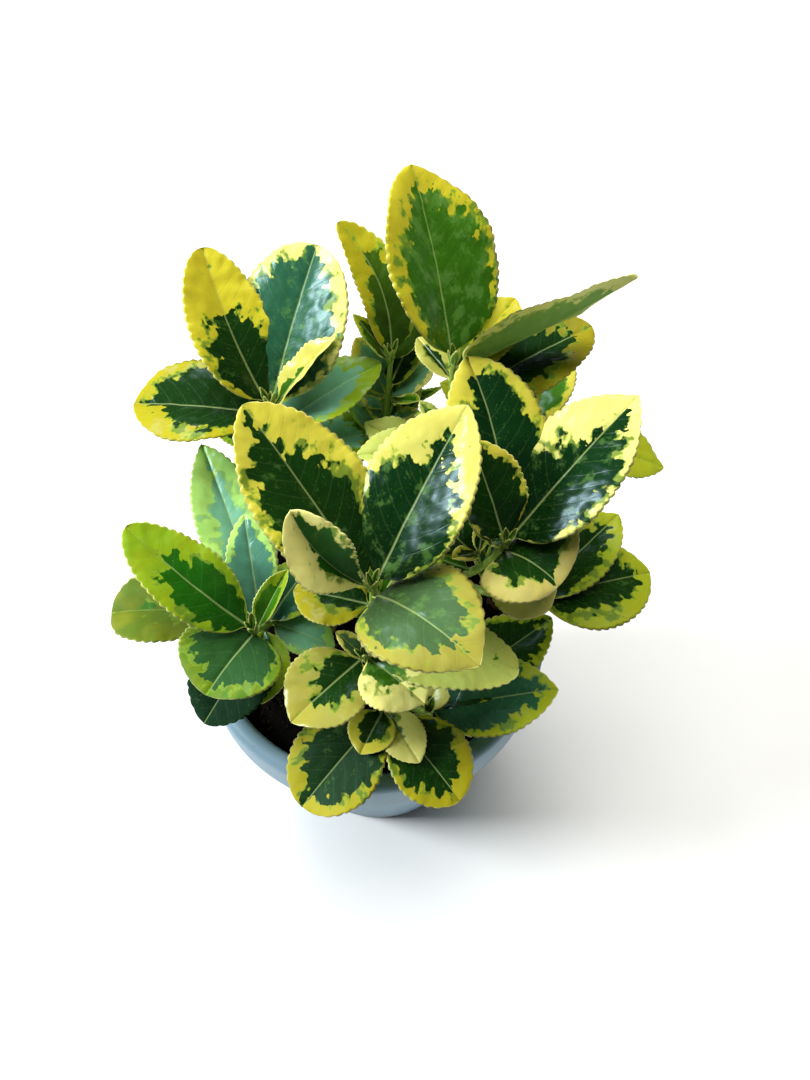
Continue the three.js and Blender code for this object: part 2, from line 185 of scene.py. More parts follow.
# Shoots: each grows from the fork of a main stem to its bud.
# lower is the number of pairs under the rosette, and spin their first heading.
SHOOTS = {
    "centre": {"stem": "middle", "bud": (3, -28, 190), "lower": 3, "spin": 60, "leaves": [
        leaf(2, 135, 40, 61, 34, fold=10, tip=0.7, green=(0.86, 0.66), reach=(0.96, 0.84), mottle=0.35),
        leaf(2, 54, 40, 57, 33, fold=14, green=(0.84, 0.94), reach=0.78, rim="straw", tone="night",
             mottle=0.5),
        leaf(1, 173, 61, 39, 24, fold=46, arch=-10, twist=-48, sweep=36, peak=0.62, tip=0.5,
             green=(0.3, 0.93), reach=(0.66, 0.95), rim="ivory", tone="emerald", gloss=0.3),
        leaf(5, -42, 12, 39, 34, fold=6, arch=65, peak=0.43, tip=0.95, green=(0.76, 0.78),
             reach=(0.84, 0.8), rim="honey", tone="grey", mottle=0.5),
        leaf(14, 0, 5, 32, 24, rim="gold"),
        leaf(14, 167, 0, 24, 22, green=(0.4, 0.6), reach=0.7, rim="ochre"),
    ]},
    "front": {"stem": "middle", "bud": (0, -38, 166), "lower": 0, "spin": 0, "leaves": [
        leaf(4, -40, 0, 23, 24, arch=30, green=0.5, reach=(0.7, 0.66), rim="ivory", tone="mid",
             mottle=0.9),
        leaf(4, -135, 0, 29, 26, green=(0.62, 0.55), reach=(0.7, 0.66), rim="honey", mottle=0.2),
        leaf(1, 150, 40, 12, 7, fold=30, rim="straw", tone="grey"),
        leaf(9, -8, 3, 46, 24, arch=40, tip=0.5, green=(0.3, 0.2), reach=(0.78, 0.74), rim="pear",
             tone="mid"),
    ]},
    "right": {"stem": "right", "bud": (41, -13, 189), "lower": 3, "spin": 20, "leaves": [
        leaf(2, 105, 38, 55, 31, sweep=-25, tip=0.72, green=(0.84, 0.88), reach=(0.92, 0.98),
             tone="night", mottle=0.1),
        leaf(2, 39, 35, 56, 32, peak=0.43, tip=0.84, green=(0.7, 0.88), reach=(0.74, 0.93), rim="cream",
             tone="night", mottle=0.45),
        leaf(1, 120, 48, 33, 22, fold=20, green=0.9, reach=0.93, mottle=0.1),
        leaf(6, -42, 10, 21, 37, fold=12, arch=75, tip=0.6, green=(0.72, 0.62), reach=0.84, rim="tan"),
        leaf(12, -40, -20, 23, 26, green=0.1, reach=0.3, rim="cream"),
    ]},
    "outer": {"stem": "right", "bud": (55, -12, 152), "lower": 2, "spin": 80, "leaves": [
        leaf(4, 14, 2, 42, 35, fold=8, tip=0.72, green=(0.72, 0.6), reach=0.94, rim="olive", mottle=0.3),
        leaf(4, 41, 17, 42, 24, rim="olive"),
        leaf(3, 100, 25, 26, 16, rim="olive"),
    ]},
    "tall": {"stem": "right", "bud": (26, 33, 215), "lower": 4, "spin": 110, "pale": True, "leaves": [
        leaf(2, 107, 43, 57, 42, fold=14, twist=26, tip=0.72, green=(0.72, 0.92), reach=(0.9, 0.92),
             rim="gold", tone="mid", mottle=0.7),
        leaf(2, 6, 31, 56, 31, arch=-10, twist=-58, peak=0.36, green=(0.9, 0.66), reach=(0.97, 0.93),
             rim="ivory", tone="spring", mottle=0.9),
        leaf(14, 27, 12, 50, 31, tip=0.66, green=(0.7, 0.66), reach=(0.84, 0.9), rim="mustard",
             mottle=0.1),
        leaf(6, 125, 10, 18, 10, green=0.3, rim="straw"),
        leaf(6, 50, 20, 32, 20, green=0.3, reach=0.6, rim="gold"),
    ]},
    "back": {"stem": "back", "bud": (7.5, 51.5, 199), "lower": 3, "spin": 30, "leaves": [
        leaf(3, 119, 43, 46, 19, fold=25, sweep=-55, peak=0.42, tip=0.6, green=(0.6, 0.8),
             reach=(0.66, 0.78), rim="ochre", tone="olive"),
        leaf(3, 75, 30, 25, 18, green=0.95, reach=0.97, rim="olive", tone="olive"),
        leaf(2, 141, 38, 19, 7, rim="olive", tone="olive"),
        leaf(12, 60, 30, 24, 13, rim="olive"),
        leaf(20, 135, 15, 20, 14, rim="cream", tone="pale"),
        leaf(15, 34, 20, 20, 14, rim="cream", tone="pale"),
        leaf(15, 128, 42, 22, 15, rim="butter", tone="pale"),
        leaf(23, 22, 20, 22, 6, fold=30, rim="lime", tone="mid"),
        leaf(32, 64, 43, 32, 18, rim="cream", tone="pale"),
        leaf(33, -165, 5, 20, 15, rim="mint", tone="pale"),
    ]},
    "back_left": {"stem": "left", "bud": (-36, 48, 166), "lower": 2, "spin": 60, "leaves": [
        leaf(2, 120, 40, 40, 25, rim="gold"),
        leaf(2, 60, 35, 38, 24, rim="olive", tone="mid"),
        leaf(6, 160, 20, 24, 18, rim="lime"),
        leaf(6, 15, 10, 26, 20, rim="moss", tone="blue"),
    ]},
    "back_right": {"stem": "back", "bud": (54, 46, 172), "lower": 2, "spin": 50, "leaves": [
        leaf(2, 108, 35, 38, 24, rim="gold", mottle=0.5),
        leaf(2, 62, 28, 32, 22, rim="butter", tone="mid"),
        leaf(3, -12, -9, 51, 28, green=(0.3, 0.2), reach=(0.5, 0.4), rim="olive", tone="olive"),
        leaf(5, 155, 20, 32, 20, rim="olive"),
    ]},
    "left": {"stem": "left", "bud": (-30, 34, 196), "lower": 3, "spin": 95, "leaves": [
        leaf(2, 120, 45, 51, 25, sweep=20, tip=0.55, green=(0.76, 0.84), reach=(0.66, 0.6), rim="gold",
             mottle=0.3),
        leaf(2, 64, 45, 51, 38, fold=10, peak=0.48, tip=0.5, green=(0.96, 0.84), reach=(0.98, 0.96),
             rim="cream", tone="blue", mottle=0.6),
        leaf(4, 177, 4, 43, 35, peak=0.52, tip=0.7, green=(0.72, 0.86), reach=(0.84, 0.94), rim="ochre",
             mottle=0.1),
        leaf(3, 17, 49, 34, 12, fold=36, green=(0.4, 0.3), reach=(0.6, 0.5), rim="straw", tone="mid"),
        leaf(9, 30, 14, 40, 24, green=0.7, rim="lime", tone="pale"),
        leaf(18, 20, -5, 34, 24, rim="moss", tone="pale"),
    ]},
    "low_left": {"stem": "left", "bud": (-34, -28, 163), "lower": 0, "spin": 0, "leaves": [
        leaf(2, 151, 35, 49, 23, sweep=15, tip=0.6, green=(0.78, 0.74), reach=(0.68, 0.74), rim="lime",
             tone="emerald", mottle=0.1),
        leaf(4, -118, 8, 26, 34, arch=25, tip=0.6, green=(0.84, 0.8), reach=(0.94, 0.92), rim="moss",
             tone="grass", mottle=0.15, gloss=0.5),
        leaf(16, -177, 12, 49, 25, arch=40, peak=0.7, tip=0.5, green=(0.5, 0.6), reach=(0.62, 0.76),
             rim="fern", tone="mid", gloss=0.4),
        leaf(3, 58, 30, 21, 12, fold=50, rim="lime", tone="mid"),
        leaf(8, 101, 30, 36, 16, green=(0.9, 0.86), reach=(0.97, 0.95), rim="mint", tone="dusty"),
        leaf(10, -90, -20, 24, 18, green=(0.4, 0.3), reach=(0.6, 0.5), rim="lime", tone="mid"),
        leaf(15, -122, -14, 37, 28, tip=0.6, green=1.6, reach=1.5, rim="forest", tone="night", mottle=0.1,
             gloss=0.1),
        leaf(12, 58, 8, 25, 19, rim="lime", tone="blue"),
        leaf(15, -18, -12, 22, 16, rim="mint", tone="pale"),
        leaf(14, 114, 25, 62, 23, green=0.5, rim="mint", tone="pale"),
    ]},
    "low_front": {"stem": "front", "bud": (5, -42, 136), "lower": 0, "spin": 0, "leaves": [
        leaf(4, -131, -8, 40, 31, arch=20, peak=0.56, tip=0.55, green=(0.86, 0.84), reach=(0.96, 0.94),
             rim="ochre", mottle=0.3, gloss=0.4),
        leaf(4, -50, -9, 37, 27, arch=20, peak=0.56, tip=0.6, green=(0.8, 0.84), reach=(0.9, 0.94),
             rim="ochre"),
        leaf(1, -115, 5, 17, 16, green=(0.6, 0.7), reach=0.8),
        leaf(1, -57, 0, 21, 15, green=(0.2, 0.3), reach=(0.5, 0.4), rim="cream", tone="grey"),
    ]},
    "low_right": {"stem": "front", "bud": (20, -40, 127), "lower": 0, "spin": 0, "leaves": [
        leaf(3, 4, 16, 45, 28, green=(0.84, 0.8), reach=(0.94, 0.92), rim="olive", tone="blue"),
        leaf(2, 35, 10, 54, 27, green=0.94, reach=0.95, rim="olive", mottle=0.2),
        leaf(2, 67, 20, 14, 12, green=0.2, reach=0.4, rim="cream"),
    ]},
}


class PotSizes(bpy.types.PropertyGroup):
    """Sizes and colour of the pot"""

    height: bpy.props.FloatProperty(
        name="Height", description="From the flat underside to the top of the lip",
        default=POT_HIGH.z, unit="LENGTH")
    lip_radius: bpy.props.FloatProperty(
        name="Lip radius", description="Outside radius of the lip",
        default=POT_HIGH.x, unit="LENGTH")
    foot_radius: bpy.props.FloatProperty(
        name="Foot radius", description="Radius of the flat underside",
        default=0.042, unit="LENGTH")
    wall: bpy.props.FloatProperty(
        name="Wall", description="Thickness of the wall below the collar",
        default=0.004, unit="LENGTH")
    colour: bpy.props.FloatVectorProperty(
        name="Colour", description="Blue-grey of the moulded wall",
        default=(0.18, 0.28, 0.35), subtype="COLOR")


class PlantSizes(bpy.types.PropertyGroup):
    """Sizes of the leaves and the limbs"""

    leaf_thickness: bpy.props.FloatProperty(
        name="Leaf thickness", description="Thickness of a blade beside its midrib",
        default=0.00045, unit="LENGTH")
    tooth_pitch: bpy.props.FloatProperty(
        name="Tooth pitch", description="Distance between the teeth of a large leaf",
        default=0.0024, unit="LENGTH")
    tooth_depth: bpy.props.FloatProperty(
        name="Tooth depth", description="How far the teeth stand out of a large leaf",
        default=0.0006, unit="LENGTH")
    vein_spacing: bpy.props.FloatProperty(
        name="Vein spacing", description="Distance between side veins along the midrib",
        default=0.0052, unit="LENGTH")
    bark_relief: bpy.props.FloatProperty(
        name="Bark relief", description="Depth of the corky ridges on the main stems",
        default=0.0007, unit="LENGTH")


class SoilSizes(bpy.types.PropertyGroup):
    """Make-up of the potting soil"""

    relief: bpy.props.FloatProperty(
        name="Relief", description="Height of the lumps in the surface",
        default=0.0022, unit="LENGTH")
    crumbs: bpy.props.FloatProperty(
        name="Crumbs", description="Crumbs of peat on each square metre", default=130000)
    chips: bpy.props.FloatProperty(
        name="Chips", description="Chips of bark on each square metre", default=9000)


class StageSizes(bpy.types.PropertyGroup):
    """Floor and light of the studio"""

    floor_size: bpy.props.FloatProperty(
        name="Floor size", description="Length of the floor's sides", default=6.0, unit="LENGTH")
    window_power: bpy.props.FloatProperty(
        name="Window power", description="Power of the large light on the left",
        default=20.0, unit="POWER")
    ceiling_power: bpy.props.FloatProperty(
        name="Ceiling power", description="Power of the soft light overhead",
        default=26.0, unit="POWER")
    sky_power: bpy.props.FloatProperty(
        name="Sky power", description="Power of the small light behind, which shines on level leaves",
        default=3.5, unit="POWER")


def linear(text):
    """A colour for a shader from its usual six digits"""
    parts = [int(text[k:k + 2], 16) / 255 for k in (1, 3, 5)]
    return tuple(c / 12.92 if c <= 0.04045 else ((c + 0.055) / 1.055) ** 2.4 for c in parts) + (1.0,)


def add_node(tree, kind, links=(), output=0, **settings):
    """An output of a new node with its settings, and its inputs linked or set by name or number"""
    node = tree.nodes.new(kind)
    for key, value in settings.items():
        setattr(node, key, value)
    for key, value in dict(links).items():
        if isinstance(value, bpy.types.NodeSocket):
            tree.links.new(value, node.inputs[key])
        else:
            node.inputs[key].default_value = value
    return node.outputs[output]


class Shades:
    """A material's nodes, added one call at a time"""

    def __init__(self, name, **settings):
        self.material = bpy.data.materials.new(name)
        self.material.use_nodes = True
        self.tree = self.material.node_tree
        self.surface = self.tree.nodes["Principled BSDF"].inputs
        for socket, value in settings.items():
            self.surface[socket.replace("_", " ")].default_value = value

    def add(self, kind, links=(), output=0, **settings):
        return add_node(self.tree, kind, links, output, **settings)

    def paint(self, socket, value):
        """Links an input of the surface to a node's output"""
        self.tree.links.new(value, self.surface[socket])

    def attribute(self, name, output="Vector"):
        """What the mesh stores under a name"""
        return self.add("ShaderNodeAttribute", output=output, attribute_name=name)

    def place(self):
        """The point on the piece, in metres"""
        return self.add("ShaderNodeTexCoord", output="Object")

    def scaled(self, vector, factors):
        """A vector with each of its parts multiplied by its own factor"""
        return self.add("ShaderNodeVectorMath", {0: vector, 1: factors}, operation="MULTIPLY")

    def split(self, vector):
        """The three parts of a vector"""
        return self.add("ShaderNodeSeparateXYZ", {0: vector}).node.outputs[:3]

    def math(self, operation, a, b=0.0, clamp=False):
        """A number worked out from one or two others"""
        return self.add("ShaderNodeMath", {0: a, 1: b}, operation=operation, use_clamp=clamp)

    def times(self, a, b):
        return self.math("MULTIPLY", a, b)

    def less(self, a, b):
        return self.math("SUBTRACT", a, b)

    def total(self, *parts):
        value = parts[0]
        for part in parts[1:]:
            value = self.math("ADD", value, part)
        return value

    def noise(self, vector, scale, detail=2.0, roughness=0.5):
        """Soft noise from 0 to 1"""
        links = {"Vector": vector, "Scale": scale, "Detail": detail, "Roughness": roughness}
        return self.add("ShaderNodeTexNoise", links)

    def smooth(self, value, low, high):
        """0 where the value is under low, 1 where it is over high, and soft between them"""
        links = {0: value, 1: low, 2: high}
        return self.add("ShaderNodeMapRange", links, interpolation_type="SMOOTHSTEP")

    def mix(self, share, a, b):
        """A colour between two colours"""
        a, b = (linear(colour) if isinstance(colour, str) else colour for colour in (a, b))
        return self.add("ShaderNodeMix", {0: share, 6: a, 7: b}, output=2, data_type="RGBA")

    def tint(self, colour, other, mask, most):
        """A colour that moves towards another where a mask is 1, by a share at most"""
        return self.mix(self.times(mask, most), colour, other)

    def between(self, share, a, b):
        """A number between two numbers"""
        return self.add("ShaderNodeMix", {0: share, 2: a, 3: b})

    def bump(self, height, strength, depth):
        """Relief in the shading, with its depth in metres"""
        links = {"Height": height, "Strength": strength, "Distance": depth}
        self.paint("Normal", self.add("ShaderNodeBump", links))


def leaf_material(vein_spacing):
    """Glossy leaf: a jagged green centre in a yellow margin, mottled, with a pale midrib"""
    s = Shades("euonymus_leaf", Specular_IOR_Level=0.3, Specular_Tint=(0.68, 0.9, 1.0, 1.0),
               Subsurface_Weight=0.05, Subsurface_Scale=0.001, Subsurface_Radius=(1.0, 1.0, 0.2))
    across, half, share = s.split(s.attribute("blade"))
    along_vein, off_rib, seed = s.split(s.attribute("vein"))
    left, right, mottle = s.split(s.attribute("patch"))
    reach_left, reach_right, under = s.split(s.attribute("extent"))
    rim, gloss = s.attribute("rim", "Color"), s.attribute("rim", "Alpha")
    green = s.attribute("green", "Color")

    side = s.smooth(across, -0.02, 0.02)
    side_sign = s.less(s.times(side, 2.0), 1.0)
    width = s.between(side, right, left)
    reach = s.between(side, reach_right, reach_left)
    out = s.math("ABSOLUTE", across)
    to_edge = s.times(s.less(1.0, out), half)

    # The patterns lean forward half as far as the side veins
    lean = s.total(VEIN["lean"] / 2, s.times(off_rib, VEIN["curve"]))
    along = s.total(along_vein, s.times(off_rib, lean))

    def streaks(fine, wide, shift, detail=2.0, roughness=0.5):
        """Noise along and across a leaf, by the millimetre, with a shift that sets patterns apart"""
        parts = {0: s.times(along, fine), 1: s.times(s.times(off_rib, side_sign), wide)}
        vector = s.add("ShaderNodeCombineXYZ", {**parts, 2: s.total(seed, shift)})
        return s.noise(vector, 1.0, detail, roughness)

    def swing(*pattern):
        """The same noise about 0"""
        return s.less(streaks(*pattern), 0.5)

    lobes = swing(0.13, 0.1, 0.0, 1.0)
    fingers = swing(0.36, 0.3, 3.0, 1.5)
    crumble = swing(1.1, 1.0, 5.0, 1.0)
    around = swing(0.3, 0.33, 7.0)
    blotches = streaks(0.26, 0.24, 11.0, 2.5, 0.55)

    # The green centre has the leaf's width and reach, and its edge breaks up into fingers
    jitter = s.total(s.times(lobes, 0.35), s.times(around, 0.5))
    grown = s.math("MAXIMUM", s.math("DIVIDE", s.total(share, jitter), reach), 0.0)
    body = s.math("SQRT", s.math("SUBTRACT", 1.0, s.math("POWER", grown, 4.0), clamp=True))
    edge = s.less(s.times(s.total(width, 0.25), body), s.total(out, 0.25))
    edge = s.total(edge, s.times(fingers, 0.75), s.times(crumble, 0.1))
    inside = s.smooth(edge, -0.035, 0.03)
    outer = s.total(edge, s.times(s.less(blotches, 0.46), 1.9), s.times(crumble, 0.1))
    halo = s.smooth(outer, -0.08, 0.14)
    tinge = s.smooth(outer, -0.2, 0.05)

    # Painted shade darkens the green towards its foot; lighter blotches and freckles follow the leaf's
    # mottle
    limit = s.less(0.68, s.times(mottle, 0.3))
    spots = s.smooth(s.total(blotches, s.times(crumble, 0.3)), limit, s.total(limit, 0.2))
    freckles = s.smooth(streaks(1.6, 1.6, 17.0, 1.0), 0.66, 0.74)
    # Painted shade: the green goes towards near black at the leaf's foot
    green = s.tint(green, "#081c05", s.smooth(share, 0.6, 0.1), 0.45)
    middle_green = s.mix(0.5, green, "#5f9a1c")
    grey_green = s.mix(0.45, green, "#7f9f66")
    lighter = s.mix(streaks(0.2, 0.3, 23.0), middle_green, grey_green)
    centre = s.tint(green, lighter, spots, s.total(0.3, s.times(mottle, 0.6)))
    centre = s.tint(centre, middle_green, freckles, 0.35)

    # The margin is warmer in patches and greener beside the centre, and a painted highlight makes it
    # palest along its edge
    warm = s.smooth(streaks(0.12, 0.16, 29.0), 0.35, 0.7)
    margin = s.tint(rim, s.mix(0.5, rim, "#b8a418"), warm, 0.35)
    margin = s.tint(margin, "#93b02a", tinge, 0.45)
    margin = s.tint(margin, s.mix(0.45, green, "#86a436"), halo, 0.85)
    # Painted highlight: a pale cream line along the very edge of the margin
    margin = s.tint(margin, "#ebe596", s.smooth(to_edge, 0.55, 0.15), 0.5)
    colour = s.mix(inside, margin, centre)

    # Pale midrib, faint side veins and a lighter underside
    rib = s.smooth(s.times(off_rib, s.total(0.7, share)), 0.45, 0.18)
    gap = s.math("PINGPONG", along_vein, vein_spacing / MM / 2)
    vein = s.times(s.smooth(gap, 0.32, 0.08), s.smooth(to_edge, 1.0, 4.0))
    colour = s.tint(colour, "#b4c87c", rib, s.between(inside, 0.12, 0.36))
    colour = s.tint(colour, "#a8c07a", vein, 0.03)
    s.paint("Base Color", s.tint(colour, "#9abf4a", under, 0.35))

    # Soft gloss broken by wide shallow cells, and matt below
    rough = s.between(streaks(0.6, 0.6, 31.0), 0.2, 0.32)
    s.paint("Roughness", s.between(under, s.between(gloss, 0.95, rough), 0.6))
    grain = streaks(2.6, 2.6, 37.0)
    cells = streaks(0.3, 0.34, 41.0, 0.0)
    relief = s.total(s.times(grain, 0.15), s.times(cells, 4.6), s.times(vein, -0.3), s.times(rib, -0.6))
    s.bump(relief, 0.35, 0.0002)
    return s.material


def limb_material(name, young, old, ridge, rough):
    """Bark that turns from one colour to another in streaks along the limb"""
    s = Shades(name, Roughness=rough, Specular_IOR_Level=0.35)
    place = s.place()
    streak = s.noise(s.scaled(place, (700.0, 700.0, 120.0)), 1.0, 4.0, 0.6)
    patch = s.noise(place, 120.0)
    speck = s.smooth(s.noise(place, 1500.0, 1.0), 0.66, 0.74)
    colour = s.mix(s.smooth(s.total(streak, patch), 0.8, 1.25), young, old)
    colour = s.tint(colour, ridge, s.smooth(streak, 0.55, 0.75), 0.6)
    s.paint("Base Color", s.tint(colour, ridge, speck, 0.4))
    s.bump(s.total(streak, speck), 0.5, 0.0003)
    return s.material


def pot_material(colour):
    """Satin blue-grey with faint clouds, fine scratches, specks, and a little dust at the foot"""
    s = Shades("blue_grey_pot", Specular_IOR_Level=0.35)
    place = s.place()
    clouds = s.noise(place, 28.0, 3.0)
    fine = s.noise(s.scaled(place, (260.0, 260.0, 900.0)), 1.0, 3.0, 0.65)
    foot = s.smooth(s.split(place)[2], 0.022, 0.0)
    specks = s.smooth(s.noise(place, 900.0, 1.0), 0.7, 0.76)
    base = tuple(colour) + (1.0,)
    tone = s.mix(s.smooth(clouds, 0.3, 0.75), base, s.mix(0.3, base, "#6f9fb4"))
    tone = s.tint(tone, "#b9d0da", s.smooth(fine, 0.62, 0.8), 0.25)
    tone = s.tint(tone, "#54503f", foot, s.times(clouds, 0.6))
    s.paint("Base Color", s.tint(tone, "#3a3a34", specks, 0.5))
    s.paint("Roughness", s.between(clouds, 0.4, 0.6))
    s.bump(s.total(s.times(fine, 0.4), clouds), 0.12, 0.0004)
    return s.material


def soil_material():
    """Damp dark peat with brown fibres"""
    s = Shades("potting_soil", Specular_IOR_Level=0.03)
    place = s.place()
    lumps = s.noise(place, 240.0, 5.0, 0.65)
    fibres = s.smooth(s.noise(s.scaled(place, (900.0, 260.0, 600.0)), 1.0, 3.0), 0.6, 0.75)
    tone = s.mix(s.smooth(lumps, 0.35, 0.7), "#040303", "#0b0806")
    s.paint("Base Color", s.tint(tone, "#3a2a1d", fibres, 0.35))
    s.paint("Roughness", s.between(lumps, 0.65, 0.95))
    s.bump(lumps, 0.8, 0.0012)
    return s.material


def crumb_material(name, dark, light):
    """Crumbs, each of its own shade"""
    s = Shades(name, Roughness=0.85, Specular_IOR_Level=0.08)
    grain = s.noise(s.place(), 1400.0, 3.0)
    tone = s.mix(s.attribute("shade", "Fac"), dark, light)
    s.paint("Base Color", s.tint(tone, dark, s.smooth(grain, 0.5, 0.7), 0.4))
    s.bump(grain, 0.5, 0.0004)
    return s.material


def floor_material():
    """Plain pale studio floor"""
    s = Shades("studio_floor", Roughness=0.7, Specular_IOR_Level=0.2)
    s.paint("Base Color", s.mix(s.noise(s.place(), 3.0), "#f6f5f2", "#f9f8f6"))
    return s.material


def chance(number):
    """A number from 0 to 1 for each draw, the same on every run"""
    wave = math.sin(number * 12.9898 + SEED * 78.233) * 43758.5453
    return wave - math.floor(wave)


def bezier(points, t):
    """Points of a curve with one control point"""
    t = np.asarray(t, float)[..., None]
    a, b, c = (np.array(p, float) for p in points)
    return a * (1 - t) ** 2 + b * 2 * t * (1 - t) + c * t ** 2


def stem_curve(stem):
    """A main stem rises straight from the soil and leans to its fork"""
    start = np.array((*stem["foot"], SOIL_TOP))
    end = np.array(stem["fork"], float)
    return start, np.array((start[0], start[1], (start[2] + end[2]) / 2)), end


def shoot_curve(plan):
    """A shoot leaves the fork sideways and ends nearly upright in its bud"""
    start = np.array(STEMS[plan["stem"]]["fork"], float)
    end = np.array(plan["bud"], float)
    return start, start + (end - start) * (0.7, 0.7, 0.45), end


def below(curve, drop):
    """The place on a shoot that lies a distance below its bud"""
    return 1 - drop / np.linalg.norm(curve[2] - curve[0])


def blade(u, peak, tip=OUTLINE):
    """The half width of a blade along its length, as a share of the widest"""
    t = np.clip((np.asarray(u, float) - STALK["share"]) / (1 - STALK["share"]), 0, 1)
    skewed = t ** (math.log(0.5) / math.log(peak))
    power = OUTLINE + (tip - OUTLINE) * np.clip((skewed - 0.5) * 2, 0, 1)
    return (4 * skewed * (1 - skewed)) ** power


def bow(u, length, degrees):
    """Distance along and off the chord of an arc that turns through an angle"""
    turn = math.radians(degrees)
    if abs(turn) < 1e-6:
        return length * u, 0 * u
    radius = length / (2 * math.sin(turn / 2))
    along = radius * (math.sin(turn / 2) - np.sin(turn * (0.5 - u)))
    return along, radius * (np.cos(turn * (0.5 - u)) - math.cos(turn / 2))


def leaf_axes(row):
    """A leaf's own frame: along its chord, across it, and out of its upper face"""
    a, e, t = (math.radians(row[key]) for key in ("turn", "rise", "twist"))
    along = np.array((math.cos(e) * math.cos(a), math.cos(e) * math.sin(a), math.sin(e)))
    level = np.array((-math.sin(a), math.cos(a), 0.0))
    up = np.cross(along, level)
    return along, level * math.cos(t) + up * math.sin(t), up * math.cos(t) - level * math.sin(t)


def leaf_points(root, row, u, y, lift):
    """Points of a leaf: u runs from the stem to the tip, y across in millimetres, lift off the face"""
    along, across, out = leaf_axes(row)
    x, z = bow(u, row["long"], row["arch"])
    sway = bow(u, row["long"], row["sweep"])[1]
    pitch = (math.radians(row["arch"]) * (0.5 - u))[..., None]
    yaw = (math.radians(row["sweep"]) * (0.5 - u))[..., None]
    normal = out * np.cos(pitch) - along * np.sin(pitch)
    side = across * np.cos(yaw) - along * np.sin(yaw)
    fold = math.radians(row["fold"])
    raised = (np.abs(y) * math.sin(fold) + lift)[..., None]
    flat = x[..., None] * along + z[..., None] * out + sway[..., None] * across
    return root + flat + (y * math.cos(fold))[..., None] * side + raised * normal


def leaf_marks(root, row):
    """The points that a leaf is tested by"""
    u, v = np.meshgrid((0.25, 0.4, 0.55, 0.7, 0.85, 1.0), (-0.9, 0.0, 0.9), indexing="ij")
    half = np.maximum(row["wide"] / 2 * blade(u, row["peak"]), STALK["half"])
    return leaf_points(root, row, u, v * half, 0 * u).reshape(-1, 3)


def clear_of(marks, others):
    """Whether a leaf's marks keep their distance from all other points"""
    gaps = np.linalg.norm(marks[:, None] - others[None], axis=2)
    return gaps.min() > ROOM["clear"]


def lower_leaves(shoot, pair, side, draw):
    """The places that a lower leaf may take, each as its root and its row, the best one first"""
    drop = LOWER["first"] + LOWER["spacing"] * (pair + 1)
    long = LOWER["long"] * LOWER["shrink"] ** pair * (0.9 + 0.2 * chance(draw + 600))
    t = below(shoot["curve"], drop)
    look = {
        "rim": ("lime", "olive", "butter", "moss")[int(chance(draw + 40) * 4)],
        "tone": ("deep", "emerald", "blue", "mid")[int(chance(draw + 41) * 4)],
        "green": (0.6 + 0.3 * chance(draw + 42), 0.6 + 0.3 * chance(draw + 43)),
        "mottle": 0.6 * chance(draw + 44),
    }
    if shoot.get("pale"):
        look = {"rim": "pear", "tone": "mid", "green": 0.1, "reach": 0.3}
    for aside in ROOM["tries"]:
        turn = shoot["spin"] + 90 * pair + 180 * side + aside + (chance(draw) - 0.5) * LOWER["jitter"]
        rise = LOWER["rise"] + (chance(draw + 300) - 0.5) * LOWER["jitter"]
        row = leaf(drop, turn, rise, long, long * LOWER["slim"], **look)
        root = bezier(shoot["curve"], max(t, 0))
        tip = leaf_points(root, row, np.array(1.0), np.array(0.0), np.array(0.0))
        behind = math.sin(math.radians(turn)) > ROOM["front"]
        if t > ROOM["above"] and behind and math.hypot(tip[0], tip[1]) < ROOM["reach"]:
            yield root, row


def grow_shoots():
    """Every shoot with its curve, its rosette and the pairs under it that clear the rest of the plant"""
    shoots = []
    for name, plan in SHOOTS.items():
        curve = shoot_curve(plan)
        leaves = [(bezier(curve, below(curve, row["drop"])), row) for row in plan["leaves"]]
        shoots.append({**plan, "name": name, "curve": curve, "leaves": leaves})
    steps = np.linspace(0, 1, 15)
    stems = [bezier(stem_curve(stem), steps) for stem in STEMS.values()]
    for number, shoot in enumerate(shoots):
        others = [other for other in shoots if other is not shoot]
        for pair in range(shoot["lower"]):
            for side in range(2):
                taken = stems + [bezier(other["curve"], steps) for other in others]
                taken += [leaf_marks(*grown) for other in others for grown in other["leaves"]]
                taken = np.concatenate(taken)
                for candidate in lower_leaves(shoot, pair, side, number * 17 + pair * 5 + side):
                    if clear_of(leaf_marks(*candidate), taken):
                        shoot["leaves"].append(candidate)
                        break
    for shoot in shoots:
        lowest = max(row["drop"] for _, row in shoot["leaves"])
        shoot["entry"] = below(shoot["curve"], lowest + LOWER["bare"])
    return shoots


def bud_scales(shoot, number):
    """The closed bud at the end of a shoot: two pairs of small folded scales"""
    root = bezier(shoot["curve"], 0.99)
    draw = 900 + number * 11
    first = 360 * chance(draw)
    for k in range(4):
        inner = k // 2
        long = (5.5 if inner else 7.5) * (0.85 + 0.3 * chance(draw + 1 + k))
        turn = first + 90 * inner + 180 * (k % 2)
        yield root, leaf(0, turn, 72 + 4 * inner, long, long * 0.42, fold=38, arch=-24,
                         rim="moss", tone="mid", green=0.7)


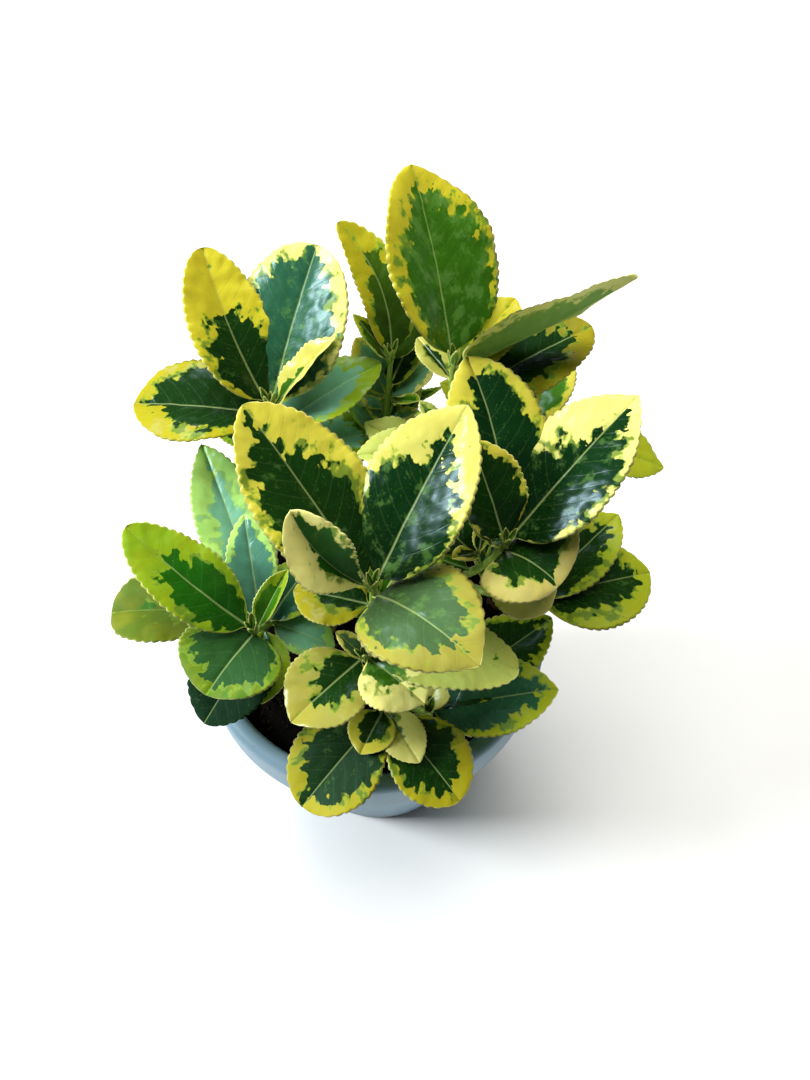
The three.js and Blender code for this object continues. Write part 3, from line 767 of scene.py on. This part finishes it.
def sprigs(shoot, number):
    """Short side twigs in the axils of the lower leaves, each with two small leaves"""
    for k, (root, row) in enumerate(shoot["leaves"]):
        draw = 1300 + number * 29 + k * 3
        if row["drop"] < SPRIG["below"] or chance(draw) < SPRIG["missing"]:
            continue
        tilt = math.radians(62 + 14 * chance(draw + 1))
        turn = row["turn"] + 30 * (chance(draw + 2) - 0.5)
        level = np.array((math.cos(math.radians(turn)), math.sin(math.radians(turn)), 0.0))
        length = 5 + 4 * chance(draw + 3)
        tip = root + length * (level * math.cos(tilt) + np.array((0, 0, math.sin(tilt))))
        leaves = []
        for side in (-1, 1):
            long = 11 + 6 * chance(draw + 4 + side)
            leaves.append((tip, leaf(0, turn + 70 * side, 38, long, long * 0.5, fold=22,
                                     rim=row["rim"], tone=row["tone"], green=0.6)))
        yield (root, root + (tip - root) * 0.5 + level * 0.8, tip), leaves


# Places across a blade from the midrib to the margin
COLUMNS = np.array((0, 0.035, 0.09, 0.18, 0.3, 0.44, 0.58, 0.72, 0.84, 0.93, 1))
ACROSS = np.concatenate((-COLUMNS[:0:-1], COLUMNS))

# Teeth: the places along one, its top, and where the first one starts along the blade.
# On leaves shorter than full they shrink, down to these shares of their pitch and depth.
TOOTH_STEPS = np.array((0, 0.35, 0.7, 0.85))
TOOTH_TOP = 0.7
TOOTH_START = 0.14
TEETH = {"full": 40, "pitch": 0.5, "depth": 0.35}

# Relief of a blade: its waves, the quilting between side veins, the groove over the midrib and the
# keel under it, the thickness of the stalk, and how wide the crease of the fold is rounded
RELIEF = {"wave": 0.05, "quilt": 0.1, "groove": 0.22, "keel": 0.4, "stalk": 0.8, "crease": 2.5}

# Room round a leaf on the OFBake map
MAP_EDGE = 1


def leaf_grid(root, row, sizes, seed):
    """The two faces of a leaf as grids of points, with what its material reads"""
    long = row["long"]

    # Rows along the blade: its bare foot, then the places along each tooth
    pitch = sizes.tooth_pitch / MM * min(1.0, max(TEETH["pitch"], long / TEETH["full"]))
    depth = sizes.tooth_depth / MM * min(1.0, max(TEETH["depth"], long / TEETH["full"]))
    teeth = max(5, round(long * (1 - TOOTH_START) / pitch))
    phase = np.concatenate([k + TOOTH_STEPS for k in range(teeth)] + [[teeth]])
    bare = np.linspace(0, TOOTH_START, 6, endpoint=False)
    u = np.concatenate((bare, TOOTH_START + (1 - TOOTH_START) * phase / teeth))

    # The height of the teeth at each row, which rise slowly and end in a notch, and the half width
    phase = np.concatenate((0 * bare, phase % 1))
    tooth = np.where(phase < TOOTH_TOP, np.sin(phase / TOOTH_TOP * math.pi / 2),
                     np.cos((phase - TOOTH_TOP) / (1 - TOOTH_TOP) * math.pi / 2))
    tooth = (tooth - 0.5) * depth * np.clip((u - 0.15) / 0.2, 0, 1) * np.clip((1 - u) / 0.03, 0, 1)
    stalk = np.interp(u, (0, 0.1, 0.2, 1), (STALK["half"], STALK["half"], 0.3, 0.05))
    half = np.maximum(row["wide"] / 2 * blade(u, row["peak"], row["tip"]), stalk)

    # Places on the blade: v across it from -1 to 1, y across it in millimetres, and off the midrib
    share, v = np.meshgrid(u, ACROSS, indexing="ij")
    half = np.repeat(half[:, None], len(ACROSS), axis=1)
    out = np.abs(v)
    y = half * v + np.sign(v) * tooth[:, None] * np.clip((out - 0.7) / 0.3, 0, 1) ** 2
    off = np.abs(y)
    along_vein = share * long - VEIN["lean"] * off - VEIN["curve"] * off ** 2
    spread = np.clip((share - STALK["share"]) / 0.12, 0, 1)

    # How far each place lies off the folded blade: domed halves, waves, quilting and a rippled margin
    lift = row["dome"] * half * 4 * out * (1 - out)
    crease = RELIEF["crease"]
    lift -= math.sin(math.radians(row["fold"])) * (off + crease - np.hypot(off, crease))
    for k in range(4):
        wave, heading = 5 + 7 * chance(seed * 3 + k), math.pi * chance(seed * 3 + k + 50)
        angle = (share * long * math.cos(heading) + y * math.sin(heading)) * 2 * math.pi / wave
        lift += RELIEF["wave"] * np.sin(angle + 6.3 * chance(seed + k + 70)) * spread
    quilt = np.abs(np.sin(math.pi * along_vein / (sizes.vein_spacing / MM)))
    lift += RELIEF["quilt"] * quilt * np.sin(math.pi * out) * spread
    turns = 2 * math.pi * (1.6 + chance(seed + 2))
    for sign in (-1, 1):
        ripple = np.sin(turns * share + 6.3 * chance(seed + sign))
        ripple = ripple + 0.25 * np.sin(2.7 * turns * share + sign)
        lift += row["wave"] * long / 50 * np.where(v * sign > 0, out ** 2, 0) * ripple * spread
    groove = np.exp(-(off / 0.5) ** 2) * spread
    thick = sizes.leaf_thickness / MM * (1 - out ** 6)
    thick = thick + RELIEF["stalk"] * (1 - spread) * np.sqrt(1 - out ** 2)
    keel = RELIEF["keel"] * np.exp(-(off / 0.6) ** 2) * (1 - 0.7 * share)

    def flat(*values):
        """One row of numbers for each point"""
        return np.stack([np.broadcast_to(value, share.shape).ravel() for value in values], axis=1)

    return {
        "upper": leaf_points(root, row, share, y, lift - RELIEF["groove"] * groove).reshape(-1, 3),
        "lower": leaf_points(root, row, share, y, lift - thick - keel).reshape(-1, 3),
        "shape": share.shape,
        "looks": {
            "blade": flat(v, half, share),
            "vein": flat(along_vein, off, seed * 3.7),
            "patch": flat(*row["green"], row["mottle"]),
            "rim": flat(*linear(RIMS[row["rim"]])[:3], row["gloss"]),
            "green": flat(*linear(GREENS[row["tone"]])),
        },
        "reach": row["reach"],
        "island": flat(y + row["wide"] / 2 + MAP_EDGE, share * long + MAP_EDGE),
        "room": (row["wide"] + 2.5 * MAP_EDGE, long + 2 * MAP_EDGE),
    }


def pack_islands(rooms):
    """Corners for rectangles laid on shelves in a square, and the side of the square"""
    order = sorted(range(len(rooms)), key=lambda k: -rooms[k][1])
    side = math.sqrt(sum(w * h for w, h in rooms))
    while True:
        corners = [None] * len(rooms)
        x = y = shelf = 0.0
        for k in order:
            w, h = rooms[k]
            if x + w > side:
                x, y, shelf = 0.0, y + shelf, 0.0
            corners[k] = (x, y)
            x += w
            shelf = max(shelf, h)
        if y + shelf <= side:
            return corners, side
        side *= 1.02


def placed(name, data):
    """A new object in the scene"""
    made = bpy.data.objects.new(name, data)
    bpy.context.scene.collection.objects.link(made)
    return made


def mesh_piece(name, points, faces, material):
    """A smooth mesh object from arrays of points in millimetres and of four-sided faces"""
    mesh = bpy.data.meshes.new(name)
    mesh.vertices.add(len(points))
    mesh.vertices.foreach_set("co", (np.asarray(points) * MM).astype(np.float32).ravel())
    mesh.loops.add(faces.size)
    mesh.loops.foreach_set("vertex_index", faces.astype(np.int32).ravel())
    mesh.polygons.add(len(faces))
    mesh.polygons.foreach_set("loop_start", np.arange(0, faces.size, 4, dtype=np.int32))
    mesh.polygons.foreach_set("use_smooth", np.ones(len(faces), bool))
    mesh.update(calc_edges=True)
    mesh.materials.append(material)
    return placed(name, mesh)


def settle(piece, slot, *nodes):
    """Puts a piece on the plant's body and hides the parts of the model that it stands for; the slot it is
    given is not used
    """
    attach(piece, "root")
    if nodes:
        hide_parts(*nodes)


def quads(sheet):
    """The four-sided faces between the rows and columns of a sheet of point numbers"""
    corners = (sheet[:-1, :-1], sheet[1:, :-1], sheet[1:, 1:], sheet[:-1, 1:])
    return np.stack(corners, axis=2).reshape(-1, 4)


def leaf_piece(name, grids, material):
    """All leaves of one mass as one mesh, each face with its own place on the OFBake map"""
    points, faces, islands, rooms = [], [], [], []
    looks = {key: [] for key in ("blade", "vein", "patch", "rim", "green", "extent")}
    start = 0
    for grid in grids:
        rows, columns = grid["shape"]
        top = np.arange(rows * columns).reshape(rows, columns)
        inner = np.zeros((rows, columns), bool)
        inner[1:-1, 1:-1] = True
        keep = inner.ravel()
        counts = (rows * columns, int(keep.sum()))
        bottom = top.copy()
        bottom[inner] = counts[0] + np.arange(counts[1])
        points += [grid["upper"], grid["lower"][keep]]
        for key, values in grid["looks"].items():
            looks[key] += [values, values[keep]]
        for sheet, order in ((top, (0, 1, 2, 3)), (bottom, (3, 2, 1, 0))):
            faces.append(start + quads(sheet)[:, order])
            islands.append(grid["island"][quads(top)[:, order]])
            rooms.append(grid["room"])
        for is_under, count in enumerate(counts):
            looks["extent"].append(np.tile((*grid["reach"], is_under), (count, 1)))
        start += sum(counts)
    corners, side = pack_islands(rooms)
    uv = np.concatenate([(island + corner) / side for island, corner in zip(islands, corners)])
    piece = mesh_piece(name, np.concatenate(points), np.concatenate(faces), material)
    piece.data.uv_layers.new(name="OFBake").data.foreach_set("uv", uv.astype(np.float32).ravel())
    for key, values in looks.items():
        values = np.concatenate(values).astype(np.float32)
        kind, field = ("FLOAT_COLOR", "color") if values.shape[1] == 4 else ("FLOAT_VECTOR", "vector")
        piece.data.attributes.new(key, kind, "POINT").data.foreach_set(field, values.ravel())
    return piece


def node_tree(name, inputs):
    """An empty geometry tree with named inputs and its two end nodes"""
    tree = bpy.data.node_groups.new(name, "GeometryNodeTree")
    tree.interface.new_socket("Geometry", in_out="INPUT", socket_type="NodeSocketGeometry")
    tree.interface.new_socket("Geometry", in_out="OUTPUT", socket_type="NodeSocketGeometry")
    for label, kind, value in inputs:
        socket = tree.interface.new_socket(label, in_out="INPUT", socket_type=kind)
        if value is not None:
            socket.default_value = value
    return tree, tree.nodes.new("NodeGroupInput").outputs, tree.nodes.new("NodeGroupOutput").inputs


def end_tree(tree, geometry, given, result):
    """Ends a tree with smooth faces, as real geometry in its material"""
    smooth = add_node(tree, "GeometryNodeSetShadeSmooth", {"Geometry": geometry})
    whole = add_node(tree, "GeometryNodeRealizeInstances", {"Geometry": smooth})
    painted = add_node(tree, "GeometryNodeSetMaterial", {"Geometry": whole, "Material": given["Material"]})
    tree.links.new(painted, result["Geometry"])


def run_tree(piece, tree, **values):
    """Turns an object into the plain mesh that a geometry tree makes of it"""
    modifier = piece.modifiers.new(tree.name, "NODES")
    modifier.node_group = tree
    for item in tree.interface.items_tree:
        if item.in_out == "INPUT" and item.name.lower() in values:
            modifier[item.identifier] = values[item.name.lower()]
    bpy.context.view_layer.update()
    seen = piece.evaluated_get(bpy.context.evaluated_depsgraph_get())
    mesh = bpy.data.meshes.new_from_object(seen)
    piece.modifiers.remove(modifier)
    piece.data = mesh


def limb_tree():
    """Limbs along polylines: ridged bark whose radius follows the attribute thick"""
    tree, given, result = node_tree("limbs", [
        ("Sides", "NodeSocketInt", 20),
        ("Relief", "NodeSocketFloat", 0.0003),
        ("Grain", "NodeSocketFloat", 500.0),
        ("Material", "NodeSocketMaterial", None),
    ])
    curve = add_node(tree, "GeometryNodeMeshToCurve", {"Mesh": given["Geometry"]})
    thick = add_node(tree, "GeometryNodeInputNamedAttribute", {"Name": "thick"})
    ring = add_node(tree, "GeometryNodeCurvePrimitiveCircle",
                    {"Resolution": given["Sides"], "Radius": 1.0})
    skin = add_node(tree, "GeometryNodeCurveToMesh",
                    {"Curve": curve, "Profile Curve": ring, "Scale": thick, "Fill Caps": True})
    place = add_node(tree, "GeometryNodeInputPosition")
    stretched = add_node(tree, "ShaderNodeVectorMath", {0: place, 1: (1.0, 1.0, 0.22)},
                         operation="MULTIPLY")
    rough = add_node(tree, "ShaderNodeTexNoise",
                     {"Vector": stretched, "Scale": given["Grain"], "Detail": 3.0})
    centred = add_node(tree, "ShaderNodeMath", {0: rough, 1: 0.5}, operation="SUBTRACT")
    height = add_node(tree, "ShaderNodeMath", {0: centred, 1: given["Relief"]}, operation="MULTIPLY")
    normal = add_node(tree, "GeometryNodeInputNormal")
    offset = add_node(tree, "ShaderNodeVectorMath", {0: normal, "Scale": height}, operation="SCALE")
    moved = add_node(tree, "GeometryNodeSetPosition", {"Geometry": skin, "Offset": offset})
    end_tree(tree, moved, given, result)
    return tree


def crumb_tree():
    """Lumpy crumbs strewn over a surface, each turned, sized and shaded at random"""
    tree, given, result = node_tree("crumbs", [
        ("Density", "NodeSocketFloat", 100000.0),
        ("Smallest", "NodeSocketVector", (0.3, 0.3, 0.3)),
        ("Largest", "NodeSocketVector", (1.0, 1.0, 1.0)),
        ("Seed", "NodeSocketInt", 3),
        ("Material", "NodeSocketMaterial", None),
    ])
    scattered = add_node(tree, "GeometryNodeDistributePointsOnFaces",
                         {"Mesh": given["Geometry"], "Density": given["Density"], "Seed": given["Seed"]})
    ball = add_node(tree, "GeometryNodeMeshIcoSphere", {"Radius": MM, "Subdivisions": 2})
    place = add_node(tree, "GeometryNodeInputPosition")
    lumps = add_node(tree, "ShaderNodeTexNoise", {"Vector": place, "Scale": 900.0, "Detail": 1.0},
                     output="Color")
    centred = add_node(tree, "ShaderNodeVectorMath", {0: lumps, 1: (0.5, 0.5, 0.5)},
                       operation="SUBTRACT")
    offset = add_node(tree, "ShaderNodeVectorMath", {0: centred, "Scale": 1.4 * MM}, operation="SCALE")
    lump = add_node(tree, "GeometryNodeSetPosition", {"Geometry": ball, "Offset": offset})
    turned = add_node(tree, "FunctionNodeRandomValue", {1: (6.3, 6.3, 6.3), "Seed": given["Seed"]},
                      data_type="FLOAT_VECTOR")
    sized = add_node(tree, "FunctionNodeRandomValue",
                     {0: given["Smallest"], 1: given["Largest"], "Seed": 8}, data_type="FLOAT_VECTOR")
    strewn = add_node(tree, "GeometryNodeInstanceOnPoints",
                      {"Points": scattered, "Instance": lump, "Rotation": turned, "Scale": sized})
    shade = add_node(tree, "FunctionNodeRandomValue", {"Seed": 21}, output=1, data_type="FLOAT")
    shaded = add_node(tree, "GeometryNodeStoreNamedAttribute",
                      {"Geometry": strewn, "Name": "shade", "Value": shade}, domain="INSTANCE")
    end_tree(tree, shaded, given, result)
    return tree


def polylines(name, paths):
    """An object of open lines, with a radius in metres at each point"""
    points, edges, thick = [], [], []
    for path, radii in paths:
        first = len(points)
        points += [tuple(p * MM) for p in path]
        thick += list(np.asarray(radii) * MM)
        edges += [(k, k + 1) for k in range(first, len(points) - 1)]
    mesh = bpy.data.meshes.new(name)
    mesh.from_pydata(points, edges, [])
    mesh.attributes.new("thick", "FLOAT", "POINT").data.foreach_set("value", np.array(thick, np.float32))
    return placed(name, mesh)


def rounded(corners, steps=6):
    """A profile whose corners, each a radius and a height with a fillet, are rounded"""
    path = []
    for k, (x, z, fillet) in enumerate(corners):
        here = np.array((x, z), float)
        if not fillet:
            path.append(here)
            continue
        before = np.array(corners[k - 1][:2]) - here
        after = np.array(corners[(k + 1) % len(corners)][:2]) - here
        a, b = before / np.linalg.norm(before), after / np.linalg.norm(after)
        angle = math.acos(np.clip(a @ b, -1, 1))
        reach = fillet / math.tan(angle / 2)
        centre = here + (a + b) / np.linalg.norm(a + b) * fillet / math.sin(angle / 2)
        start, end = here + a * reach - centre, here + b * reach - centre
        sweep = math.atan2(start[0] * end[1] - start[1] * end[0], start @ end)
        for t in np.linspace(0, sweep, steps):
            turn = np.array(((math.cos(t), -math.sin(t)), (math.sin(t), math.cos(t))))
            path.append(centre + turn @ start)
    return np.array(path)


def subdivided(path, longest):
    """A profile with extra points on its long stretches"""
    fine = [path[0]]
    for a, b in zip(path, path[1:]):
        parts = max(1, math.ceil(np.linalg.norm(b - a) / longest))
        fine += [a + (b - a) * k / parts for k in range(1, parts + 1)]
    return np.array(fine)


def turned_piece(name, path, segments, material):
    """A closed turned shape from a profile that starts and ends on the axis"""
    mesh = bpy.data.meshes.new(name)
    angles = np.linspace(0, 2 * math.pi, segments, endpoint=False)
    ring = np.stack((np.cos(angles), np.sin(angles)), axis=1)
    points = [(0.0, 0.0, path[0][1] * MM)]
    for radius, height in path[1:-1]:
        points += [(x * radius * MM, y * radius * MM, height * MM) for x, y in ring]
    points.append((0.0, 0.0, path[-1][1] * MM))
    faces = []
    for k in range(segments):
        after = (k + 1) % segments
        faces.append((0, 1 + after, 1 + k))
        last = len(points) - 1 - segments
        faces.append((len(points) - 1, last + k, last + after))
        for row in range(len(path) - 3):
            a, b = 1 + row * segments, 1 + (row + 1) * segments
            faces.append((a + k, a + after, b + after, b + k))
    mesh.from_pydata(points, [], faces)
    mesh.polygons.foreach_set("use_smooth", [True] * len(faces))
    mesh.materials.append(material)
    mesh.update()
    return placed(name, mesh)


COLLAR_DEPTH = 20
COLLAR_STEP = 4
LIP_WIDTH = 7
POT_FLOOR = 5

# The soil bed: its gaps to the wall and the pot's floor, the height of its upright edge, and its top,
# which is level inside a radius and drops towards the wall
BED = {"gap": 0.2, "lift": 0.3, "edge": 14, "level": 34, "drop": 2, "rings": 46}


def wall_inside(pot, height):
    """The inner face of the pot's wall at a height"""
    share = height / (pot.height / MM - COLLAR_DEPTH)
    foot, top = pot.foot_radius / MM, pot.lip_radius / MM - COLLAR_STEP
    return foot + (top - foot) * share - pot.wall / MM


class EUONYMUS_OT_pot(bpy.types.Operator):
    """Turns the pot with its collar and thick rounded lip"""

    bl_idname = "euonymus.make_pot"
    bl_label = "Make Pot"

    def execute(self, context):
        pot = context.scene.euonymus_pot
        height, lip, foot = pot.height / MM, pot.lip_radius / MM, pot.foot_radius / MM
        collar = height - COLLAR_DEPTH
        # Radius, height and fillet of each corner, up the outside and down the inside
        path = rounded([
            (0, 0, 0),
            (foot, 0, 2),
            (lip - COLLAR_STEP, collar, 1),
            (lip, collar, 1.2),
            (lip, height, 3.2),
            (lip - LIP_WIDTH + 0.4, height - 0.8, 3.2),
            (lip - LIP_WIDTH, SOIL_TOP, 1),
            (wall_inside(pot, collar), collar, 1),
            (wall_inside(pot, POT_FLOOR), POT_FLOOR, 2),
            (0, POT_FLOOR, 0),
        ])
        piece = turned_piece("pot_wall", subdivided(path, 6), 128, pot_material(pot.colour))
        settle(piece, "pot", "pot")
        return {"FINISHED"}


class EUONYMUS_OT_soil(bpy.types.Operator):
    """Fills the pot with lumpy soil and strews it with crumbs and bark chips"""

    bl_idname = "euonymus.make_soil"
    bl_label = "Make Soil"

    def execute(self, context):
        pot, soil = context.scene.euonymus_pot, context.scene.euonymus_soil
        rim = wall_inside(pot, pot.height / MM - COLLAR_DEPTH) - BED["gap"]
        low, floor = wall_inside(pot, POT_FLOOR) - BED["gap"], POT_FLOOR + BED["lift"]
        path = [(0, floor), (low, floor), (rim, SOIL_TOP - BED["edge"]), (rim, SOIL_TOP - BED["drop"])]
        for radius in np.linspace(rim, 0, BED["rings"])[1:]:
            slope = max(0, (radius - BED["level"]) / (rim - BED["level"]))
            path.append((radius, SOIL_TOP - BED["drop"] * slope))
        piece = turned_piece("soil_bed", path, 120, soil_material())
        for vertex in piece.data.vertices:
            if vertex.co.z > (SOIL_TOP - 3) * MM:
                inward = min(1.0, (rim * MM - math.hypot(vertex.co.x, vertex.co.y)) / (4 * MM))
                lump = noise.fractal(vertex.co * 160, 0.8, 2.0, 4)
                vertex.co.z += soil.relief * (lump * 0.5 - 0.35) * max(0.0, inward)
        settle(piece, "soil", "soil")
        bed = piece.data.copy()
        self.keep_top(bed)
        tree = crumb_tree()
        kinds = (
            ("soil_crumbs", soil.crumbs, (0.3, 0.3, 0.25), (1.3, 1.2, 0.9), 3, ("#060504", "#1c140d")),
            ("bark_chips", soil.chips, (0.8, 0.5, 0.25), (3.6, 1.5, 0.5), 4, ("#100b07", "#34261a")),
        )
        for name, density, smallest, largest, seed, shades in kinds:
            strewn = placed(name, bed.copy())
            run_tree(strewn, tree, density=density, smallest=smallest, largest=largest, seed=seed,
                     material=crumb_material(name, *shades))
            settle(strewn, "soil")
        bpy.data.meshes.remove(bed)
        return {"FINISHED"}

    def keep_top(self, mesh):
        """Leaves only the top faces of the bed"""
        points = [v.co.copy() for v in mesh.vertices]
        kept = [tuple(p.vertices) for p in mesh.polygons if p.center.z >= (SOIL_TOP - 4) * MM]
        mesh.clear_geometry()
        mesh.from_pydata(points, [], kept)


class EUONYMUS_OT_limbs(bpy.types.Operator):
    """Grows the main stems, the boughs and the green shoots inside the foliage"""

    bl_idname = "euonymus.make_limbs"
    bl_label = "Make Stems and Shoots"

    def execute(self, context):
        relief = context.scene.euonymus_plant.bark_relief
        bark = limb_material("young_bark", "#6d7136", "#7c6f4e", "#a59a74", 0.75)
        green = limb_material("green_bark", "#7c9a34", "#8aa844", "#b4c47a", 0.5)
        steps = np.linspace(0, 1, 70)

        def tapered(curve, first, last, start, end):
            """Points along a stretch of a curve, with a radius that goes from start to end"""
            return bezier(curve, first + (last - first) * steps), start + (end - start) * steps

        stems, boughs, twigs = [], [], []
        for stem in STEMS.values():
            points, radii = tapered(stem_curve(stem), 0, 1, RADII["foot"], RADII["fork"])
            points[0, 2] -= 1.5
            stems.append((points, radii + RADII["flare"] * np.exp(-steps * 9)))
        for number, shoot in enumerate(grow_shoots()):
            curve, entry = shoot["curve"], shoot["entry"]
            boughs.append(tapered(curve, 0, entry, RADII["bough"], RADII["bough_tip"]))
            twigs.append(tapered(curve, entry, 1, RADII["bough_tip"], RADII["shoot_tip"]))
            for twig, _ in sprigs(shoot, number):
                few = steps[::7]
                twigs.append((bezier(twig, few), np.linspace(*SPRIG["radii"], len(few))))
        made = (
            ("main_stems", stems, 28, 1.0, 420.0, bark, "stem", [f"stem_{name}" for name in STEMS]),
            ("green_boughs", boughs, 18, 0.4, 500.0, green, "bough", [f"bough_{name}" for name in SHOOTS]),
            ("green_shoots", twigs, 10, 0.25, 600.0, green, "bough", []),
        )
        tree = limb_tree()
        for name, paths, sides, rough, grain, material, slot, nodes in made:
            piece = polylines(name, paths)
            run_tree(piece, tree, sides=sides, relief=relief * rough, grain=grain, material=material)
            settle(piece, slot, *nodes)
        return {"FINISHED"}


class EUONYMUS_OT_leaves(bpy.types.Operator):
    """Grows the leaves of every mass, with toothed margins, veins and variegation"""

    bl_idname = "euonymus.make_leaves"
    bl_label = "Make Leaves"

    def execute(self, context):
        sizes = context.scene.euonymus_plant
        material = leaf_material(sizes.vein_spacing)
        seed = 0
        for number, shoot in enumerate(grow_shoots()):
            leaves = list(shoot["leaves"]) + list(bud_scales(shoot, number))
            for _, pair in sprigs(shoot, number):
                leaves += pair
            grids = []
            for root, row in leaves:
                seed += 1
                grids.append(leaf_grid(root, row, sizes, seed))
            piece = leaf_piece(f"leaves_{shoot['name']}", grids, material)
            settle(piece, "foliage", f"foliage_{shoot['name']}")
        return {"FINISHED"}


# The studio in metres. Each square light has its place, its side, its colour, and whether it is
# mirrored in the leaves.
LIGHTS = {
    "window": ((-0.98, -0.04, 0.9), 0.38, (0.9, 0.96, 1.0), True),
    "ceiling": ((0.0, 0.35, 1.5), 1.1, (1.0, 0.99, 0.96), False),
    "sky": ((-0.3, 1.0, 1.25), 0.4, (0.93, 0.97, 1.0), True),
}
AIM = Vector((0, 0, 0.15))
WORLD = {"Color": (0.92, 0.96, 1.0, 1.0), "Strength": 0.07}
FLOOR_LEVEL = -0.0005

# The photograph's viewpoint, how far the camera is tilted up from straight down, and its lens
CAMERA = {"place": (0.012, -0.1385, 0.3841), "tilt": 33, "lens": 27.03, "sensor": 36}


class EUONYMUS_OT_stage(bpy.types.Operator):
    """Lays the pale floor and sets the soft lights and the camera"""

    bl_idname = "euonymus.make_stage"
    bl_label = "Make Stage"

    def execute(self, context):
        scene, stage = context.scene, context.scene.euonymus_stage
        half = stage.floor_size / 2
        mesh = bpy.data.meshes.new("studio_floor")
        corners = [(x * half, y * half, FLOOR_LEVEL) for x, y in ((-1, -1), (1, -1), (1, 1), (-1, 1))]
        mesh.from_pydata(corners, [], [(0, 1, 2, 3)])
        mesh.materials.append(floor_material())
        floor = placed("studio_floor", mesh)
        floor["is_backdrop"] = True

        for name, (place, side, colour, mirrored) in LIGHTS.items():
            data = bpy.data.lights.new(name, "AREA")
            data.size = side
            data.energy = getattr(stage, f"{name}_power")
            data.color = colour
            lamp = placed(name, data)
            lamp.location = place
            lamp.rotation_euler = (AIM - Vector(place)).to_track_quat("-Z", "Y").to_euler()
            lamp.visible_glossy = mirrored
        world = bpy.data.worlds.new("studio")
        world.use_nodes = True
        for socket, value in WORLD.items():
            world.node_tree.nodes["Background"].inputs[socket].default_value = value
        scene.world = world
        scene.view_settings.view_transform = "Standard"

        data = bpy.data.cameras.new("photo_camera")
        data.sensor_width = CAMERA["sensor"]
        data.lens = CAMERA["lens"]
        data.clip_start = 0.01
        camera = placed("photo_camera", data)
        camera.location = CAMERA["place"]
        camera.rotation_euler = (math.radians(CAMERA["tilt"]), 0, 0)
        scene.camera = camera
        return {"FINISHED"}


STEPS = (EUONYMUS_OT_pot, EUONYMUS_OT_soil, EUONYMUS_OT_limbs, EUONYMUS_OT_leaves, EUONYMUS_OT_stage)
GROUPS = {
    "euonymus_pot": PotSizes,
    "euonymus_soil": SoilSizes,
    "euonymus_plant": PlantSizes,
    "euonymus_stage": StageSizes,
}


class EUONYMUS_PT_panel(bpy.types.Panel):
    """Lists the sizes and the steps"""

    bl_idname = "EUONYMUS_PT_panel"
    bl_label = "Potted Euonymus"
    bl_space_type = "VIEW_3D"
    bl_region_type = "UI"
    bl_category = "Euonymus"

    def draw(self, context):
        for name, group in GROUPS.items():
            box = self.layout.box()
            for key in group.__annotations__:
                box.prop(getattr(context.scene, name), key)
        for step in STEPS:
            self.layout.operator(step.bl_idname)


CLASSES = (*GROUPS.values(), *STEPS, EUONYMUS_PT_panel)


def register():
    for made in CLASSES:
        bpy.utils.register_class(made)
    for name, group in GROUPS.items():
        setattr(bpy.types.Scene, name, bpy.props.PointerProperty(type=group))


def unregister():
    for name in GROUPS:
        delattr(bpy.types.Scene, name)
    for made in reversed(CLASSES):
        bpy.utils.unregister_class(made)


def main():
    """Builds the plant"""
    register()
    bpy.ops.euonymus.make_pot()
    bpy.ops.euonymus.make_soil()
    bpy.ops.euonymus.make_limbs()
    bpy.ops.euonymus.make_leaves()
    bpy.ops.euonymus.make_stage()
    boxes = {"cad": CAD_BOX, "visual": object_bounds()}
    sizes = {name: [list(corner) for corner in box] for name, box in boxes.items()}


if __name__ == "__main__":
    main()
